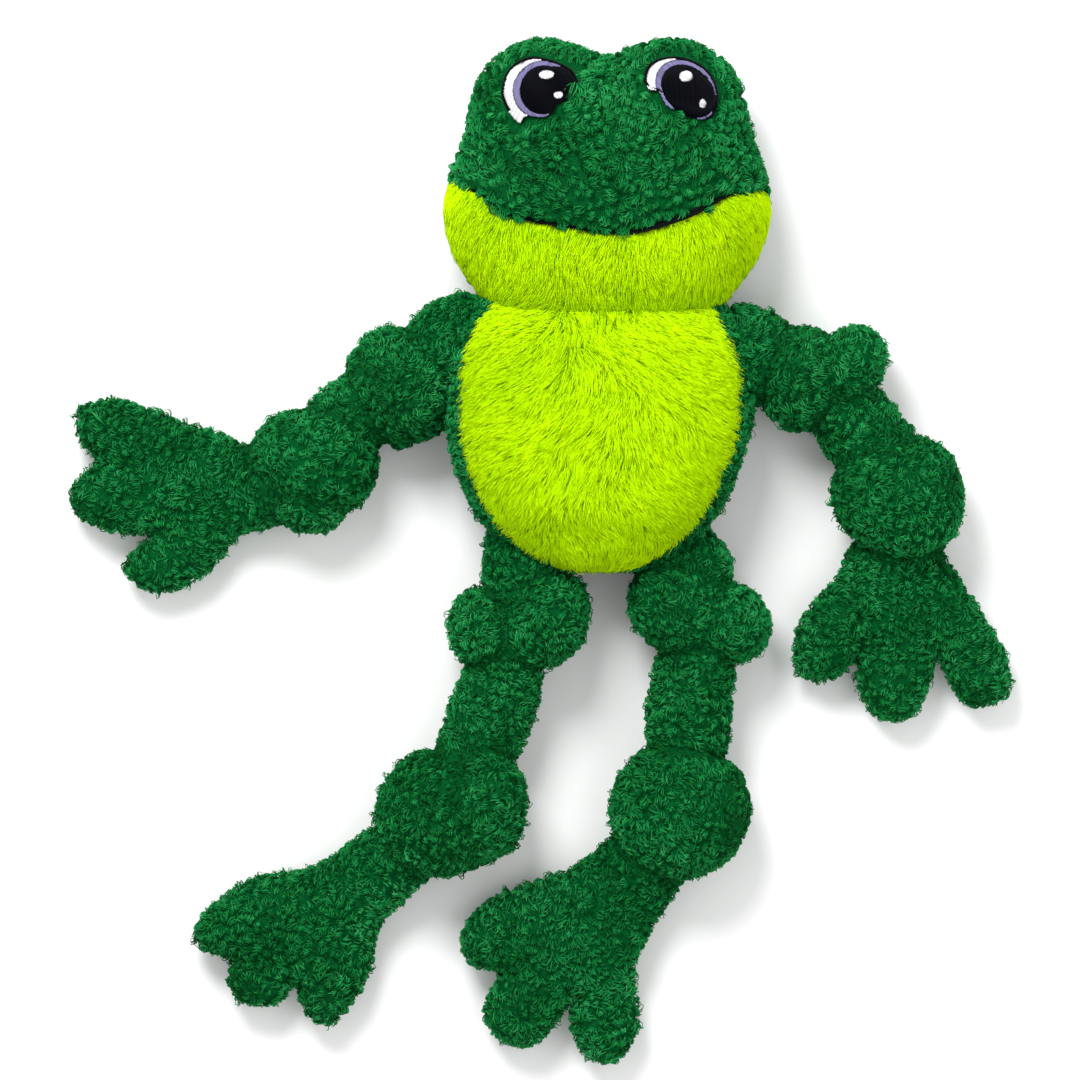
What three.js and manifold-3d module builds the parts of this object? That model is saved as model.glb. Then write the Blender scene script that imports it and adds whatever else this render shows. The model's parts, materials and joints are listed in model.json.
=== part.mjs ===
// A plush frog toy with knotted rope in its limbs, laid on its back. Millimetres, +Z up, head towards +Y.
// Left is -X, as seen from the front. The origin is under the middle of the whole toy.
import * as THREE from 'three';
import { mergeVertices } from 'three/addons/utils/BufferGeometryUtils.js';
import Module from 'manifold-3d';

const wasm = await Module();
wasm.setup();

// Cloth, rope and fits
const clearance = 0.3;
const flatCut = 0.5;
const plush = 5;
const pawPlush = 4;
const ropeRadius = 4.5;
const strandGap = 0.9;

// Torso, from the neck crease (y = 0) down to the crotch
const torsoLength = 122;
const torsoHalfWidth = 70;
const bellyHeight = 47;
const backDepth = 36;
const bellyEdgeAngle = 20;

// Neck: a half round that the head nods on
const neckHalfWidth = 50;
const neckRadius = 27;
const neckWaist = neckRadius - 3;
const nodWedge = 24;

// Head
const headOffset = 3.5;
const headHalfWidth = 74;
const headHeight = 119;
const headFront = 52;
const headBack = 36;
const mouthHalfWidth = headHalfWidth - 16;
const mouthLow = 34;
const mouthRise = 17;
const mouthGape = 4;
const muzzleLift = 5;
const eyeBumpLift = 6;
const eyeWidth = 34;
const eyeHeight = 30;
const eyeThickness = 1.4;
const eyeDrop = 24;
const eyes = {
  left: [-0.42 * headHalfWidth, headHeight - eyeDrop],
  right: [0.473 * headHalfWidth, headHeight - eyeDrop],
};

// The knots: two turns of rope wound on a ring
const strandPitch = 2 * ropeRadius + strandGap;
const windRadius = strandPitch * 0.545;
const knotRadius = strandPitch * 1.263;
const knotLead = strandPitch * 1.11;
const knotEnvelope = knotRadius + windRadius + ropeRadius;
const knotHalf = windRadius + ropeRadius;

// Sleeves, and the balls that they end in
const sleeveSides = 12;
const sleeveNeck = 14.5;
const sleeveWall = 3;
const sleeveTaper = 10;
const limbBall = sleeveNeck + 2;
const pawBall = sleeveNeck + 1;
const knotCavity = (knotEnvelope + 6 * clearance) / Math.cos(Math.PI / sleeveSides);
const knotSleeveRadius = knotCavity + sleeveWall;
const knotSleeveHalf = knotHalf + sleeveTaper;
const knotHeight = knotSleeveRadius - flatCut;
const rootDepth = 16;
const rootHeight = 28;
const elbowHeight = 25;
const armRoot = torsoHalfWidth - 2;
const legRoot = 0.46 * torsoHalfWidth;
const legRootDown = torsoLength - 7.5;

// Paws
const pawHalfThickness = 16;
const wristHalfWidth = 17;
const pawHeel = 16;
const pawCrown = 14;
const pawStart = pawBall * 0.62;
const pawMiddle = pawHalfThickness - flatCut;

// Squeaker
const squeakerRadius = 21;
const squeakerHeight = 26;
const squeakerWall = 1.6;
const reedRadius = 5;
const reedLength = 7;

// How the limbs lie. Each stretch, from a pivot to a knot or from a knot to the next pivot, has its slack
// beyond the closest fit and its heading in degrees from +X.
const nearestKnot = limbBall + knotHalf;
const limbs = {
  left_arm: {
    root: [-armRoot, -21],
    inward: 10,
    upper: [[4.6, 214], [0, 213]],
    lower: [[3.1, 232], [1.6, 198]],
    names: ['upper_arm', 'forearm', 'hand'],
    paw: { heading: 188, digits: [[84, -28, 13.5], [84, -4, 15], [73, 31, 12]], webs: [[71, -15], [54, 16]] },
  },
  right_arm: {
    root: [armRoot, -23],
    inward: 172,
    upper: [[4.6, -20], [6.6, -48]],
    lower: [[3.1, -61], [1.6, -86]],
    names: ['upper_arm', 'forearm', 'hand'],
    paw: { heading: 266, digits: [[68, -38, 13], [75, -2, 14.5], [79, 37, 13]], webs: [[46, -20], [48, 23]] },
  },
  left_leg: {
    root: [-legRoot, -legRootDown],
    inward: 76,
    upper: [[3.6, 258], [12.6, 253]],
    lower: [[24.6, 248], [13.6, 222]],
    names: ['thigh', 'shin', 'foot'],
    paw: { heading: 223, digits: [[90, -23, 14], [87, -2, 13], [75, 25, 14.5]], webs: [[78, -13], [64, 9]] },
  },
  right_leg: {
    root: [legRoot, -legRootDown],
    inward: 106,
    upper: [[3.6, 294], [12.6, 263]],
    lower: [[23.6, 265], [4.6, 230]],
    names: ['thigh', 'shin', 'foot'],
    paw: { heading: 232, digits: [[86, -27, 14], [98, 0, 14], [90, 28, 14.5]], webs: [[76, -15], [63, 13]] },
  },
};

// Fineness of the meshes
const ropeSides = 6;
const knotSteps = 32;
const bellySpans = 8;
const backSpans = 10;
const headRings = [1, 0.94, 0.8, 0.58, 0.3];
const coarseRings = [1, 0.8, 0.4];

const paints = {
  sherpa: [0x0b6b2b, 0.95],
  lime: [0xaee600, 0.9],
  mouth: [0x0a0a0c, 0.9],
  eye: [0x14142a, 0.5],
  fill: [0xf2f0ea, 1],
  rope: [0xd8cdb4, 0.9],
  squeaker: [0xf4f4f0, 0.4],
};
const materials = Object.fromEntries(Object.entries(paints).map(([name, [color, roughness]]) => [
  name,
  new THREE.MeshStandardMaterial({ color, roughness, metalness: 0 }),
]));

const degrees = Math.PI / 180;
const upwards = new THREE.Vector3(0, 0, 1);

// Solids

function solidOf(geometry) {
  const bare = geometry.clone();
  bare.deleteAttribute('normal');
  bare.deleteAttribute('uv');
  const merged = mergeVertices(bare, 1e-4);
  const corners = merged.index.array;
  const kept = [];
  for (let i = 0; i < corners.length; i += 3) {
    const [a, b, c] = corners.slice(i, i + 3);
    if (a !== b && b !== c && c !== a) kept.push(a, b, c);
  }
  const vertProperties = new Float32Array(merged.attributes.position.array);
  const build = (list) =>
    new wasm.Manifold(new wasm.Mesh({ numProp: 3, vertProperties, triVerts: new Uint32Array(list) }));
  const made = build(kept);
  return made.volume() > 0 ? made : build(kept.reverse());
}

function geometryOf(solid) {
  const { vertProperties, triVerts } = solid.getMesh();
  const geometry = new THREE.BufferGeometry();
  geometry.setAttribute('position', new THREE.BufferAttribute(new Float32Array(vertProperties), 3));
  geometry.setIndex(new THREE.BufferAttribute(new Uint32Array(triVerts), 1));
  geometry.computeVertexNormals();
  return geometry;
}

function indexed(points, triangles) {
  const geometry = new THREE.BufferGeometry();
  geometry.setAttribute('position', new THREE.Float32BufferAttribute(points.flatMap((p) => p.toArray()), 3));
  geometry.setIndex(triangles);
  return geometry;
}

// A skin over rings of equal count; a ring of one point is a pole. A loop closes on its first ring.
function ringSolid(rings, loop = false) {
  const starts = [];
  const points = [];
  for (const ring of rings) {
    starts.push(points.length);
    points.push(...ring);
  }
  const triangles = [];
  const spans = loop ? rings.length : rings.length - 1;
  for (let i = 0; i < spans; i += 1) {
    const next = (i + 1) % rings.length;
    const [a, b] = [rings[i].length, rings[next].length];
    const count = Math.max(a, b);
    for (let j = 0; j < count; j += 1) {
      const k = (j + 1) % count;
      const [a0, a1] = [starts[i] + (a > 1 ? j : 0), starts[i] + (a > 1 ? k : 0)];
      const [b0, b1] = [starts[next] + (b > 1 ? j : 0), starts[next] + (b > 1 ? k : 0)];
      if (a > 1) triangles.push(a0, a1, b1);
      if (b > 1) triangles.push(a0, b1, b0);
    }
  }
  return solidOf(indexed(points, triangles));
}

const middleOf = (ring) =>
  ring.reduce((sum, p) => sum.add(p), new THREE.Vector3()).divideScalar(ring.length);
const capped = (rings) => [[middleOf(rings[0])], ...rings, [middleOf(rings.at(-1))]];

// A curved plate between two grids of points with the same rows and columns
function plateSolid(outer, inner) {
  const rows = outer.length;
  const columns = outer[0].length;
  const points = [...outer.flat(), ...inner.flat()];
  const top = (i, j) => i * columns + j;
  const low = (i, j) => rows * columns + i * columns + j;
  const triangles = [];
  const quad = (a, b, c, d) => triangles.push(a, b, c, a, c, d);
  for (let i = 0; i + 1 < rows; i += 1) {
    for (let j = 0; j + 1 < columns; j += 1) {
      quad(top(i, j), top(i, j + 1), top(i + 1, j + 1), top(i + 1, j));
      quad(low(i, j), low(i + 1, j), low(i + 1, j + 1), low(i, j + 1));
    }
    const end = columns - 1;
    quad(top(i, 0), top(i + 1, 0), low(i + 1, 0), low(i, 0));
    quad(top(i + 1, end), top(i, end), low(i, end), low(i + 1, end));
  }
  for (let j = 0; j + 1 < columns; j += 1) {
    const end = rows - 1;
    quad(top(0, j + 1), top(0, j), low(0, j), low(0, j + 1));
    quad(top(end, j), top(end, j + 1), low(end, j + 1), low(end, j));
  }
  return solidOf(indexed(points, triangles));
}

function placed(geometry, { at = [0, 0, 0], turn = [0, 0, 0] }) {
  return solidOf(geometry.rotateX(turn[0]).rotateY(turn[1]).rotateZ(turn[2]).translate(...at));
}

function box(low, high) {
  const size = high.map((v, i) => v - low[i]);
  return placed(new THREE.BoxGeometry(...size), { at: low.map((v, i) => v + size[i] / 2) });
}

const wide = 1000;
const underFloor = box([-wide, -wide, -wide], [wide, wide, 0]);
const onFloor = (solid) => solid.subtract(underFloor);

function extruded(points, low, high) {
  const shape = new THREE.Shape(points.map(([x, y]) => new THREE.Vector2(x, y)));
  const geometry = new THREE.ExtrudeGeometry(shape, { depth: high - low, bevelEnabled: false });
  return placed(geometry, { at: [0, 0, low] });
}

const frog = new THREE.Group();
frog.name = 'frog_dog_toy';

// Each piece is one body: a cut can leave a sliver beside it, which goes
function add(name, solid, material) {
  const largest = solid.decompose().reduce((a, b) => (a.volume() > b.volume() ? a : b));
  const mesh = new THREE.Mesh(geometryOf(largest), materials[material].clone());
  mesh.name = name;
  frog.add(mesh);
}

// Directions and rings

const heading = (angle) => new THREE.Vector3(Math.cos(angle * degrees), Math.sin(angle * degrees), 0);
const along = (point, direction, distance) => point.clone().addScaledVector(direction, distance);

function ring(centre, direction, radius, sides) {
  const across = upwards.clone().cross(direction).normalize();
  const over = direction.clone().cross(across);
  return Array.from({ length: sides }, (_, i) => {
    const angle = (i / sides) * 2 * Math.PI - Math.PI / 2;
    return centre.clone()
      .addScaledVector(across, radius * Math.cos(angle))
      .addScaledVector(over, radius * Math.sin(angle));
  });
}

// Rings of a ball round a pivot, from one polar angle to another, counted from the direction behind it
function ballRings(pivot, direction, radius, angles, sides) {
  return angles.map((angle) =>
    ring(along(pivot, direction, -radius * Math.cos(angle)), direction, radius * Math.sin(angle), sides));
}

// The radius of a faceted socket that a ball of this radius turns in
const socketOf = (ball) => (ball + clearance) / Math.cos(Math.PI / sleeveSides) / Math.cos(10 * degrees);
const bore = ropeRadius / Math.cos(Math.PI / ropeSides) + clearance;

function circle(radius, sides) {
  return new THREE.Shape(Array.from({ length: sides }, (_, i) => {
    const angle = (i / sides) * 2 * Math.PI;
    return new THREE.Vector2(radius * Math.cos(angle), radius * Math.sin(angle));
  }));
}

function rope(curve, steps, radius = ropeRadius) {
  const section = circle(radius, ropeSides);
  return solidOf(new THREE.ExtrudeGeometry(section, { steps, extrudePath: curve, bevelEnabled: false }));
}

// A rope ends flat inside a ball, and starts inside its socket, to be cut hollow by it
const ropeSunk = 3;
const ropeEndIn = (ball) => Math.sqrt(ball * ball - ropeRadius * ropeRadius);
const ropeStartIn = (ball) => socketOf(ball) - ropeSunk;
const socketBall = (pivot, ball) =>
  placed(new THREE.SphereGeometry(socketOf(ball), 14, 8), { at: pivot.toArray() });

// The overhand knot: two turns round the limb's axis, wound on a ring, with its ends drawn to the axis
function knotCurve(start, knot, end) {
  const into = knot.clone().sub(start).normalize();
  const out = end.clone().sub(knot).normalize();
  const axis = into.clone().add(out).normalize();
  const across = upwards.clone().cross(axis).normalize();
  const over = axis.clone().cross(across);
  const at = (x, r, angle) => along(knot, axis, x)
    .addScaledVector(across, r * Math.cos(angle))
    .addScaledVector(over, r * Math.sin(angle));
  const winding = [];
  const points = 20;
  for (let i = 0; i <= points; i += 1) {
    const u = (60 + (240 * i) / points) * degrees;
    winding.push(at(-windRadius * Math.sin(3 * u), knotRadius + windRadius * Math.cos(3 * u), 2 * u));
  }
  const lead = Math.min(knotLead, knot.distanceTo(start) - ropeSunk);
  return new THREE.CatmullRomCurve3([
    start,
    along(knot, into, -lead),
    ...winding,
    along(knot, out, lead),
    end,
  ], false, 'centripetal');
}

// Sleeves: a ring skin with a bore, wide over its knot, a socket at the start and a ball at the end

const ballShoulder = 130 * degrees;
const cupShoulder = 35 * degrees;
const outerStations = [-1, -0.7, -0.35, 0, 0.35, 0.7, 1];
const innerStations = [0.75, 0, -0.75];
const swell = (x) => Math.cos(Math.min(1, Math.abs(x)) * Math.PI / 2) ** 0.75;

function sleeve(start, knot, end, startBall, endBall) {
  const into = knot.clone().sub(start).normalize();
  const out = end.clone().sub(knot).normalize();
  const mean = into.clone().add(out).normalize();
  const half = knotSleeveHalf;
  const socket = socketOf(startBall);
  const rim = Math.asin(sleeveNeck / socket);
  const collar = Math.asin(sleeveNeck / endBall);
  const ballAngles = [collar, Math.PI / 2, ballShoulder, Math.PI - Math.asin(bore / endBall)];
  const station = (x, radiusAt) => {
    const direction = x === 0 ? mean : (x < 0 ? into : out);
    return ring(along(knot, direction, x * half), direction, radiusAt(x), sleeveSides);
  };
  const outside = (x) => sleeveNeck + (knotSleeveRadius - sleeveNeck) * swell(x);
  const inside = (x) => bore + (knotCavity - bore) * swell(x);
  const low = (socket * Math.cos(rim) + 1 - knot.distanceTo(start)) / half;
  const high = (knot.distanceTo(end) - endBall * Math.cos(collar) - 1) / half;
  const stations = outerStations.filter((x) => x === 0 || (x > low && x < high));
  const cup = [Math.asin(bore / socket), cupShoulder].map((angle) =>
    ring(along(start, into, socket * Math.cos(angle)), into, socket * Math.sin(angle), sleeveSides));
  const lip = ring(along(start, into, socket * Math.cos(rim)), into, sleeveNeck, sleeveSides);
  return onFloor(ringSolid([
    lip,
    ...stations.map((x) => station(x, outside)),
    ...ballRings(end, out, endBall, ballAngles, sleeveSides),
    ...innerStations.map((x) => station(x, inside)),
    ...cup,
  ], true));
}

// The root of a sleeve, sewn into the torso: a short neck that ends in the first ball, bored if it has a hole
function rootShape(limb, radius, ball, hole) {
  const pivot = rootOf(limb);
  const out = heading(limb.upper[0][1]);
  const into = heading(limb.inward).negate();
  const mean = into.clone().add(out).normalize();
  const back = (width) => ring(along(pivot, into, -rootDepth), into, width, sleeveSides);
  const rings = [
    back(radius),
    ...ballRings(pivot, into, ball, [Math.asin(radius / ball)], sleeveSides),
    ...ballRings(pivot, mean, ball, [Math.PI / 2], sleeveSides),
    ...ballRings(pivot, out, ball, [ballShoulder, Math.PI - Math.asin((hole || bore) / ball)], sleeveSides),
  ];
  if (!hole) return ringSolid(capped(rings));
  return ringSolid([...rings, ring(pivot, mean, hole, sleeveSides), back(hole)], true);
}

// Torso

// Stations down the torso: share of the length, of the half width, of the belly height, of the back depth
const torsoStations = [
  [0, neckHalfWidth / torsoHalfWidth, neckWaist / bellyHeight, neckWaist / backDepth],
  [0.07, 0.83, 0.68, 0.82],
  [0.18, 0.96, 0.87, 0.95],
  [0.36, 1, 0.99, 1.014],
  [0.56, 0.99, 1, 1.014],
  [0.76, 0.87, 0.9, 0.97],
  [0.9, 0.69, 0.68, 0.8],
  [0.97, 0.47, 0.42, 0.52],
  [1, 0.22, 0.135, 0.17],
];

// Rows of the half round above the neck crease: its angle from the crease and its share of the neck's width
const neckRows = [
  [68, 0.83],
  [45, 0.89],
  [22, 0.945],
];

function torsoRows(inset) {
  const radius = neckRadius - inset;
  const rows = neckRows.map(([angle, width]) => ({
    y: radius * Math.sin(angle * degrees),
    width: (neckHalfWidth - inset) * width,
    front: radius * Math.cos(angle * degrees),
    back: radius * Math.cos(angle * degrees),
  }));
  for (const [down, width, front, back] of torsoStations) {
    rows.push({
      y: -(torsoLength - inset) * down,
      width: Math.max(1, torsoHalfWidth * width - inset),
      front: Math.max(0.5, bellyHeight * front - inset),
      back: Math.max(0.5, backDepth * back - inset),
    });
  }
  return rows;
}

// A point round a torso section: squarer at the neck than below it
const neckSquareness = 0.6;
const torsoSquareness = 0.85;

function sectionPoint({ y, width, front, back }, angle) {
  const power = y >= 0 ? neckSquareness : torsoSquareness;
  const [c, s] = [Math.cos(angle), Math.sin(angle)];
  const x = width * Math.sign(c) * Math.abs(c) ** power;
  const z = (s > 0 ? front : back) * Math.sign(s) * Math.abs(s) ** power;
  return new THREE.Vector3(x, y, backDepth + z);
}

const seamGap = 0.4;
const bellySweep = [bellyEdgeAngle + seamGap, 180 - bellyEdgeAngle - seamGap, bellySpans];
const backSweep = [180 - bellyEdgeAngle + seamGap, 360 + bellyEdgeAngle - seamGap, backSpans];

function torsoGrid(inset, ...sweeps) {
  const angles = sweeps.flatMap(([from, to, spans]) =>
    Array.from({ length: spans + 1 }, (_, j) => from + ((to - from) * j) / spans));
  return torsoRows(inset).map((row) => angles.map((angle) => sectionPoint(row, angle * degrees)));
}

const rootOf = ({ root }) => new THREE.Vector3(root[0], root[1], rootHeight);
const rootPlugs = Object.values(limbs).map((limb) =>
  rootShape(limb, sleeveNeck + clearance, socketOf(limbBall), 0));

function torsoPanel(sweep) {
  const panel = plateSolid(torsoGrid(0, sweep), torsoGrid(plush, sweep));
  return rootPlugs.reduce((solid, plug) => solid.subtract(plug), onFloor(panel));
}

function ropeSpan(from, to, between) {
  const reach = ropeEndIn(limbBall);
  const [a, b] = [rootOf(from), rootOf(to)];
  const [outA, outB] = [heading(from.upper[0][1]), heading(to.upper[0][1])];
  return new THREE.CatmullRomCurve3([
    along(a, outA, reach),
    a,
    along(a, heading(from.inward), rootDepth),
    ...between,
    along(b, heading(to.inward), rootDepth),
    b,
    along(b, outB, reach),
  ], false, 'centripetal');
}

const ropeSpanSteps = 20;
const chestRope = ropeSpan(limbs.left_arm, limbs.right_arm, [new THREE.Vector3(0, -12, rootHeight)]);
const hipRope = ropeSpan(limbs.left_leg, limbs.right_leg, [
  new THREE.Vector3(-legRoot / 2, 23 - legRootDown, rootHeight + 2),
  new THREE.Vector3(0, 28 - legRootDown, rootHeight + 3),
  new THREE.Vector3(legRoot / 2, 23 - legRootDown, rootHeight + 2),
]);

const squeakerPlace = new THREE.Vector3(0, -52, backDepth + 6);
const squeakerSides = 16;
const squeakerFold = 4;

function squeakerBellows() {
  const [h, wall, seat] = [squeakerHeight / 2, squeakerWall, reedRadius + clearance];
  const crest = squeakerRadius;
  const fold = crest - squeakerFold;
  const outside = [[fold, -h], [crest, -h + squeakerFold], [fold, -h / 3], [crest, 0]];
  const upper = [[fold, h / 3], [crest, h - squeakerFold], [fold, h]];
  const inside = [[fold - wall, h - wall], [crest - 2 * wall, h - squeakerFold], [fold - 2 * wall, h / 3]];
  const lower = [[crest - 2 * wall, 0], [fold - 2 * wall, -h / 3], [crest - 2 * wall, -h + squeakerFold]];
  const profile = [
    [seat, -h],
    ...outside,
    ...upper,
    [0, h],
    [0, h - wall],
    ...inside,
    ...lower,
    [fold - wall, -h + wall],
    [seat, -h + wall],
    [seat, -h],
  ].map(([x, y]) => new THREE.Vector2(x, y));
  const geometry = new THREE.LatheGeometry(profile, squeakerSides);
  return placed(geometry, { turn: [Math.PI / 2, 0, 0], at: squeakerPlace.toArray() });
}

function squeakerReed() {
  const hole = reedRadius - 3.2;
  const profile = [
    [hole, 0],
    [reedRadius, 0],
    [reedRadius, reedLength],
    [hole, reedLength],
    [hole, 0],
  ].map(([x, y]) => new THREE.Vector2(x, y));
  const geometry = new THREE.LatheGeometry(profile, squeakerSides).translate(0, -squeakerHeight / 2, 0);
  return placed(geometry, { turn: [Math.PI / 2, 0, 0], at: squeakerPlace.toArray() });
}

function torsoStuffing() {
  const grid = torsoGrid(plush + 2 * clearance, bellySweep, backSweep);
  const radius = squeakerRadius + clearance;
  const pocketHeight = 2 * bellyHeight;
  const pocketFloor = squeakerPlace.z - squeakerHeight / 2 - clearance;
  const pocket = placed(new THREE.CylinderGeometry(radius, radius, pocketHeight, squeakerSides), {
    turn: [Math.PI / 2, 0, 0],
    at: [squeakerPlace.x, squeakerPlace.y, pocketFloor + pocketHeight / 2],
  });
  const tunnels = [chestRope, hipRope].map((curve) => rope(curve, ropeSpanSteps, ropeRadius + clearance));
  const filled = ringSolid(capped(grid));
  return [pocket, ...tunnels, ...rootPlugs].reduce((solid, cut) => solid.subtract(cut), filled);
}

function makeTorso() {
  add('torso_back_panel', torsoPanel(backSweep), 'sherpa');
  add('belly_panel', torsoPanel(bellySweep), 'lime');
  add('torso_stuffing', torsoStuffing(), 'fill');
  add('squeaker_bellows', squeakerBellows(), 'squeaker');
  add('squeaker_reed', squeakerReed(), 'squeaker');
  add('arm_rope_chest_span', rope(chestRope, ropeSpanSteps), 'rope');
  add('leg_rope_hip_span', rope(hipRope, ropeSpanSteps), 'rope');
  for (const [name, limb] of Object.entries(limbs)) {
    add(`${name}_root`, rootShape(limb, sleeveNeck, limbBall, bore), 'sherpa');
  }
}

// Head

// Half of the head's outline, as shares of the half width and of the height above the neck crease
const headOutlineHalf = [
  [0.42, -0.13],
  [0.7, -0.09],
  [0.85, 0.05],
  [0.96, 0.21],
  [1, 0.36],
  [0.965, 0.5],
  [0.89, 0.63],
  [0.84, 0.76],
  [0.76, 0.88],
  [0.6, 0.965],
  [0.4, 1],
  [0.2, 0.975],
];

function headOutline() {
  const right = headOutlineHalf.map(([x, y]) => [x * headHalfWidth, y * headHeight]);
  const left = right.map(([x, y]) => [-x, y]).reverse();
  return [...right, [0, 0.945 * headHeight], ...left];
}

const headMiddle = [0, headHeight * 0.43];

// Lumps that lift the front of the head: the muzzle above the mouth and a bump behind each eye
function headLift(x, y) {
  const lump = (cx, cy, sx, sy) => Math.exp(-(((x - cx) / sx) ** 2) - ((y - cy) / sy) ** 2);
  const muzzle = muzzleLift * lump(0, mouthLow + mouthRise, mouthHalfWidth * 0.65, mouthRise);
  const bumpSize = eyeWidth * 0.65;
  const bumps = Object.values(eyes).map(([ex, ey]) => eyeBumpLift * lump(ex, ey, bumpSize, bumpSize));
  return muzzle + bumps[0] + bumps[1];
}

function headRing(share, crown, side, inset) {
  return headOutline().map(([x, y]) => {
    const reach = Math.hypot(x - headMiddle[0], y - headMiddle[1]);
    const shrink = share * (1 - inset / reach);
    const px = headMiddle[0] + (x - headMiddle[0]) * shrink;
    const py = headMiddle[1] + (y - headMiddle[1]) * shrink;
    const dome = Math.max(0, 1 - share ** 2.5) ** 0.5;
    const lift = side > 0 ? headLift(px, py) * Math.min(1, 3 * (1 - share)) : 0;
    return new THREE.Vector3(px, py, backDepth + side * ((crown - inset) * dome + lift));
  });
}

function headPole(crown, side, inset) {
  const lift = side > 0 ? headLift(...headMiddle) : 0;
  return [new THREE.Vector3(headMiddle[0], headMiddle[1], backDepth + side * (crown - inset + lift))];
}

function headBowl(crown, side, inset, rings) {
  return [...rings.map((share) => headRing(share, crown, side, inset)), headPole(crown, side, inset)];
}

function headShell(crown, side, outset, inset, innerRings = coarseRings) {
  const outer = headBowl(crown, side, -outset, headRings);
  const inner = headBowl(crown, side, inset, innerRings);
  return ringSolid([...inner.reverse(), ...outer]);
}

// What the neck and the nod keep free of the head
function neckSpace() {
  const sides = 32;
  const radius = (neckRadius + clearance) / Math.cos(Math.PI / sides);
  const drum = placed(new THREE.CylinderGeometry(radius, radius, wide, sides), {
    turn: [0, 0, Math.PI / 2],
    at: [0, 0, backDepth],
  });
  const below = box([-wide, -wide, -wide], [wide, clearance, wide]);
  const wedgeTop = [wide * Math.sin(nodWedge * degrees), wide * Math.cos(nodWedge * degrees)];
  return drum.add(below).add(extrudedAcross([[0, 0], wedgeTop, [0, wide]]));
}

// A shape drawn in y and z, run across the toy in x
function extrudedAcross(points) {
  const shape = new THREE.Shape(points.map(([y, z]) => new THREE.Vector2(y, z)));
  const geometry = new THREE.ExtrudeGeometry(shape, { depth: wide, bevelEnabled: false });
  geometry.translate(0, 0, -wide / 2);
  geometry.applyMatrix4(new THREE.Matrix4().makeBasis(
    new THREE.Vector3(0, 1, 0),
    new THREE.Vector3(0, 0, 1),
    new THREE.Vector3(1, 0, 0),
  ));
  geometry.translate(0, 0, backDepth);
  return solidOf(geometry);
}

const mouthHeight = (x) => mouthLow + mouthRise * (x / mouthHalfWidth) ** 2;

function mouthCurve(reach, offset) {
  const spans = 12;
  return Array.from({ length: spans + 1 }, (_, i) => {
    const x = reach * ((2 * i) / spans - 1);
    return [x, mouthHeight(x) + offset(x)];
  });
}

// All below the mouth line, which levels out at the sides of the head
function chinRegion(offset) {
  const reach = headHalfWidth * 1.14;
  const sideHeight = mouthLow + 1.15 * mouthRise;
  const top = mouthCurve(reach, () => 0).map(([x, y]) => [x, Math.min(y, sideHeight) + offset]);
  return extruded([...top.reverse(), [-reach, -wide], [reach, -wide]], backDepth, wide);
}

function mouthBand(grow) {
  const reach = mouthHalfWidth + grow;
  const gape = (x) => (mouthGape / 2) * Math.sqrt(Math.max(0, 1 - (x / reach) ** 2)) + grow;
  const top = mouthCurve(reach, gape);
  const low = mouthCurve(reach, (x) => -gape(x)).reverse();
  return extruded([...top, ...low], backDepth, wide);
}

function eyePatch([x, y]) {
  const skin = headShell(headFront, 1, 2 * clearance + eyeThickness, -2 * clearance, headRings);
  const oval = new THREE.Shape();
  oval.absellipse(0, 0, eyeWidth / 2, eyeHeight / 2, 0, 2 * Math.PI);
  const points = oval.getPoints(5).slice(1).map((p) => [p.x + x, p.y + y]);
  return skin.intersect(extruded(points, backDepth + 2, wide));
}

function makeHead() {
  const space = neckSpace();
  const front = headShell(headFront, 1, 0, plush).subtract(space);
  const half = clearance / 2;
  const face = front.subtract(chinRegion(half)).subtract(mouthBand(clearance));
  const chin = front.intersect(chinRegion(-half)).subtract(mouthBand(clearance));
  const lining = front.intersect(mouthBand(0));
  const back = onFloor(headShell(headBack + flatCut, -1, 0, plush)).subtract(space);
  const stuffing = ringSolid([
    ...headBowl(headBack, -1, plush + clearance, coarseRings).reverse(),
    ...headBowl(headFront, 1, plush + clearance, coarseRings),
  ]).subtract(space);
  const toSide = (solid) => solid.translate(headOffset, 0, 0);
  const lifted = (solid) => solid.translate(headOffset, 0, clearance);
  add('face_panel', lifted(face), 'sherpa');
  add('head_back_panel', toSide(back), 'sherpa');
  add('chin_panel', lifted(chin), 'lime');
  add('mouth_lining', lifted(lining), 'mouth');
  for (const [side, place] of Object.entries(eyes)) {
    add(`${side}_eye_patch`, lifted(eyePatch(place)), 'eye');
  }
  add('head_stuffing', toSide(stuffing), 'fill');
}

// Paws

// The outline of a paw about its wrist at the origin, pointing along +X, counter-clockwise. A digit is its
// reach, its turn and its half width; a web between two digits is its distance and its turn.
const tipSwings = [-80, -30, 30, 80];
const wristEnd = 6;

function pawOutline({ digits, webs }, inset) {
  const heel = [inset - pawHeel, wristHalfWidth - inset];
  const neck = [wristEnd, wristHalfWidth - inset];
  const points = [[heel[0], -heel[1]], [neck[0], -neck[1]]];
  digits.forEach(([reach, turn, halfWidth], i) => {
    const middle = heading(turn).multiplyScalar(reach - halfWidth);
    for (const swing of tipSwings) {
      const tip = along(middle, heading(turn + swing), halfWidth - inset);
      points.push([tip.x, tip.y]);
    }
    if (i === webs.length) return;
    const [distance, aside] = webs[i];
    const web = heading(aside).multiplyScalar(distance - 1.6 * inset);
    points.push([web.x, web.y]);
  });
  return [...points, neck, heel];
}

function pawBowl(paw, side, inset, rings, scale = 1) {
  const middle = [pawCrown, 0];
  const outline = pawOutline(paw, inset);
  const height = pawHalfThickness - inset;
  const bowl = rings.map((share) => outline.map(([x, y]) => new THREE.Vector3(
    middle[0] + (x - middle[0]) * share * scale,
    middle[1] + (y - middle[1]) * share * scale,
    side * height * scale * Math.max(0, 1 - share ** 3) ** 0.5,
  )));
  return [...bowl, [new THREE.Vector3(middle[0], middle[1], side * height * scale)]];
}

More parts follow.
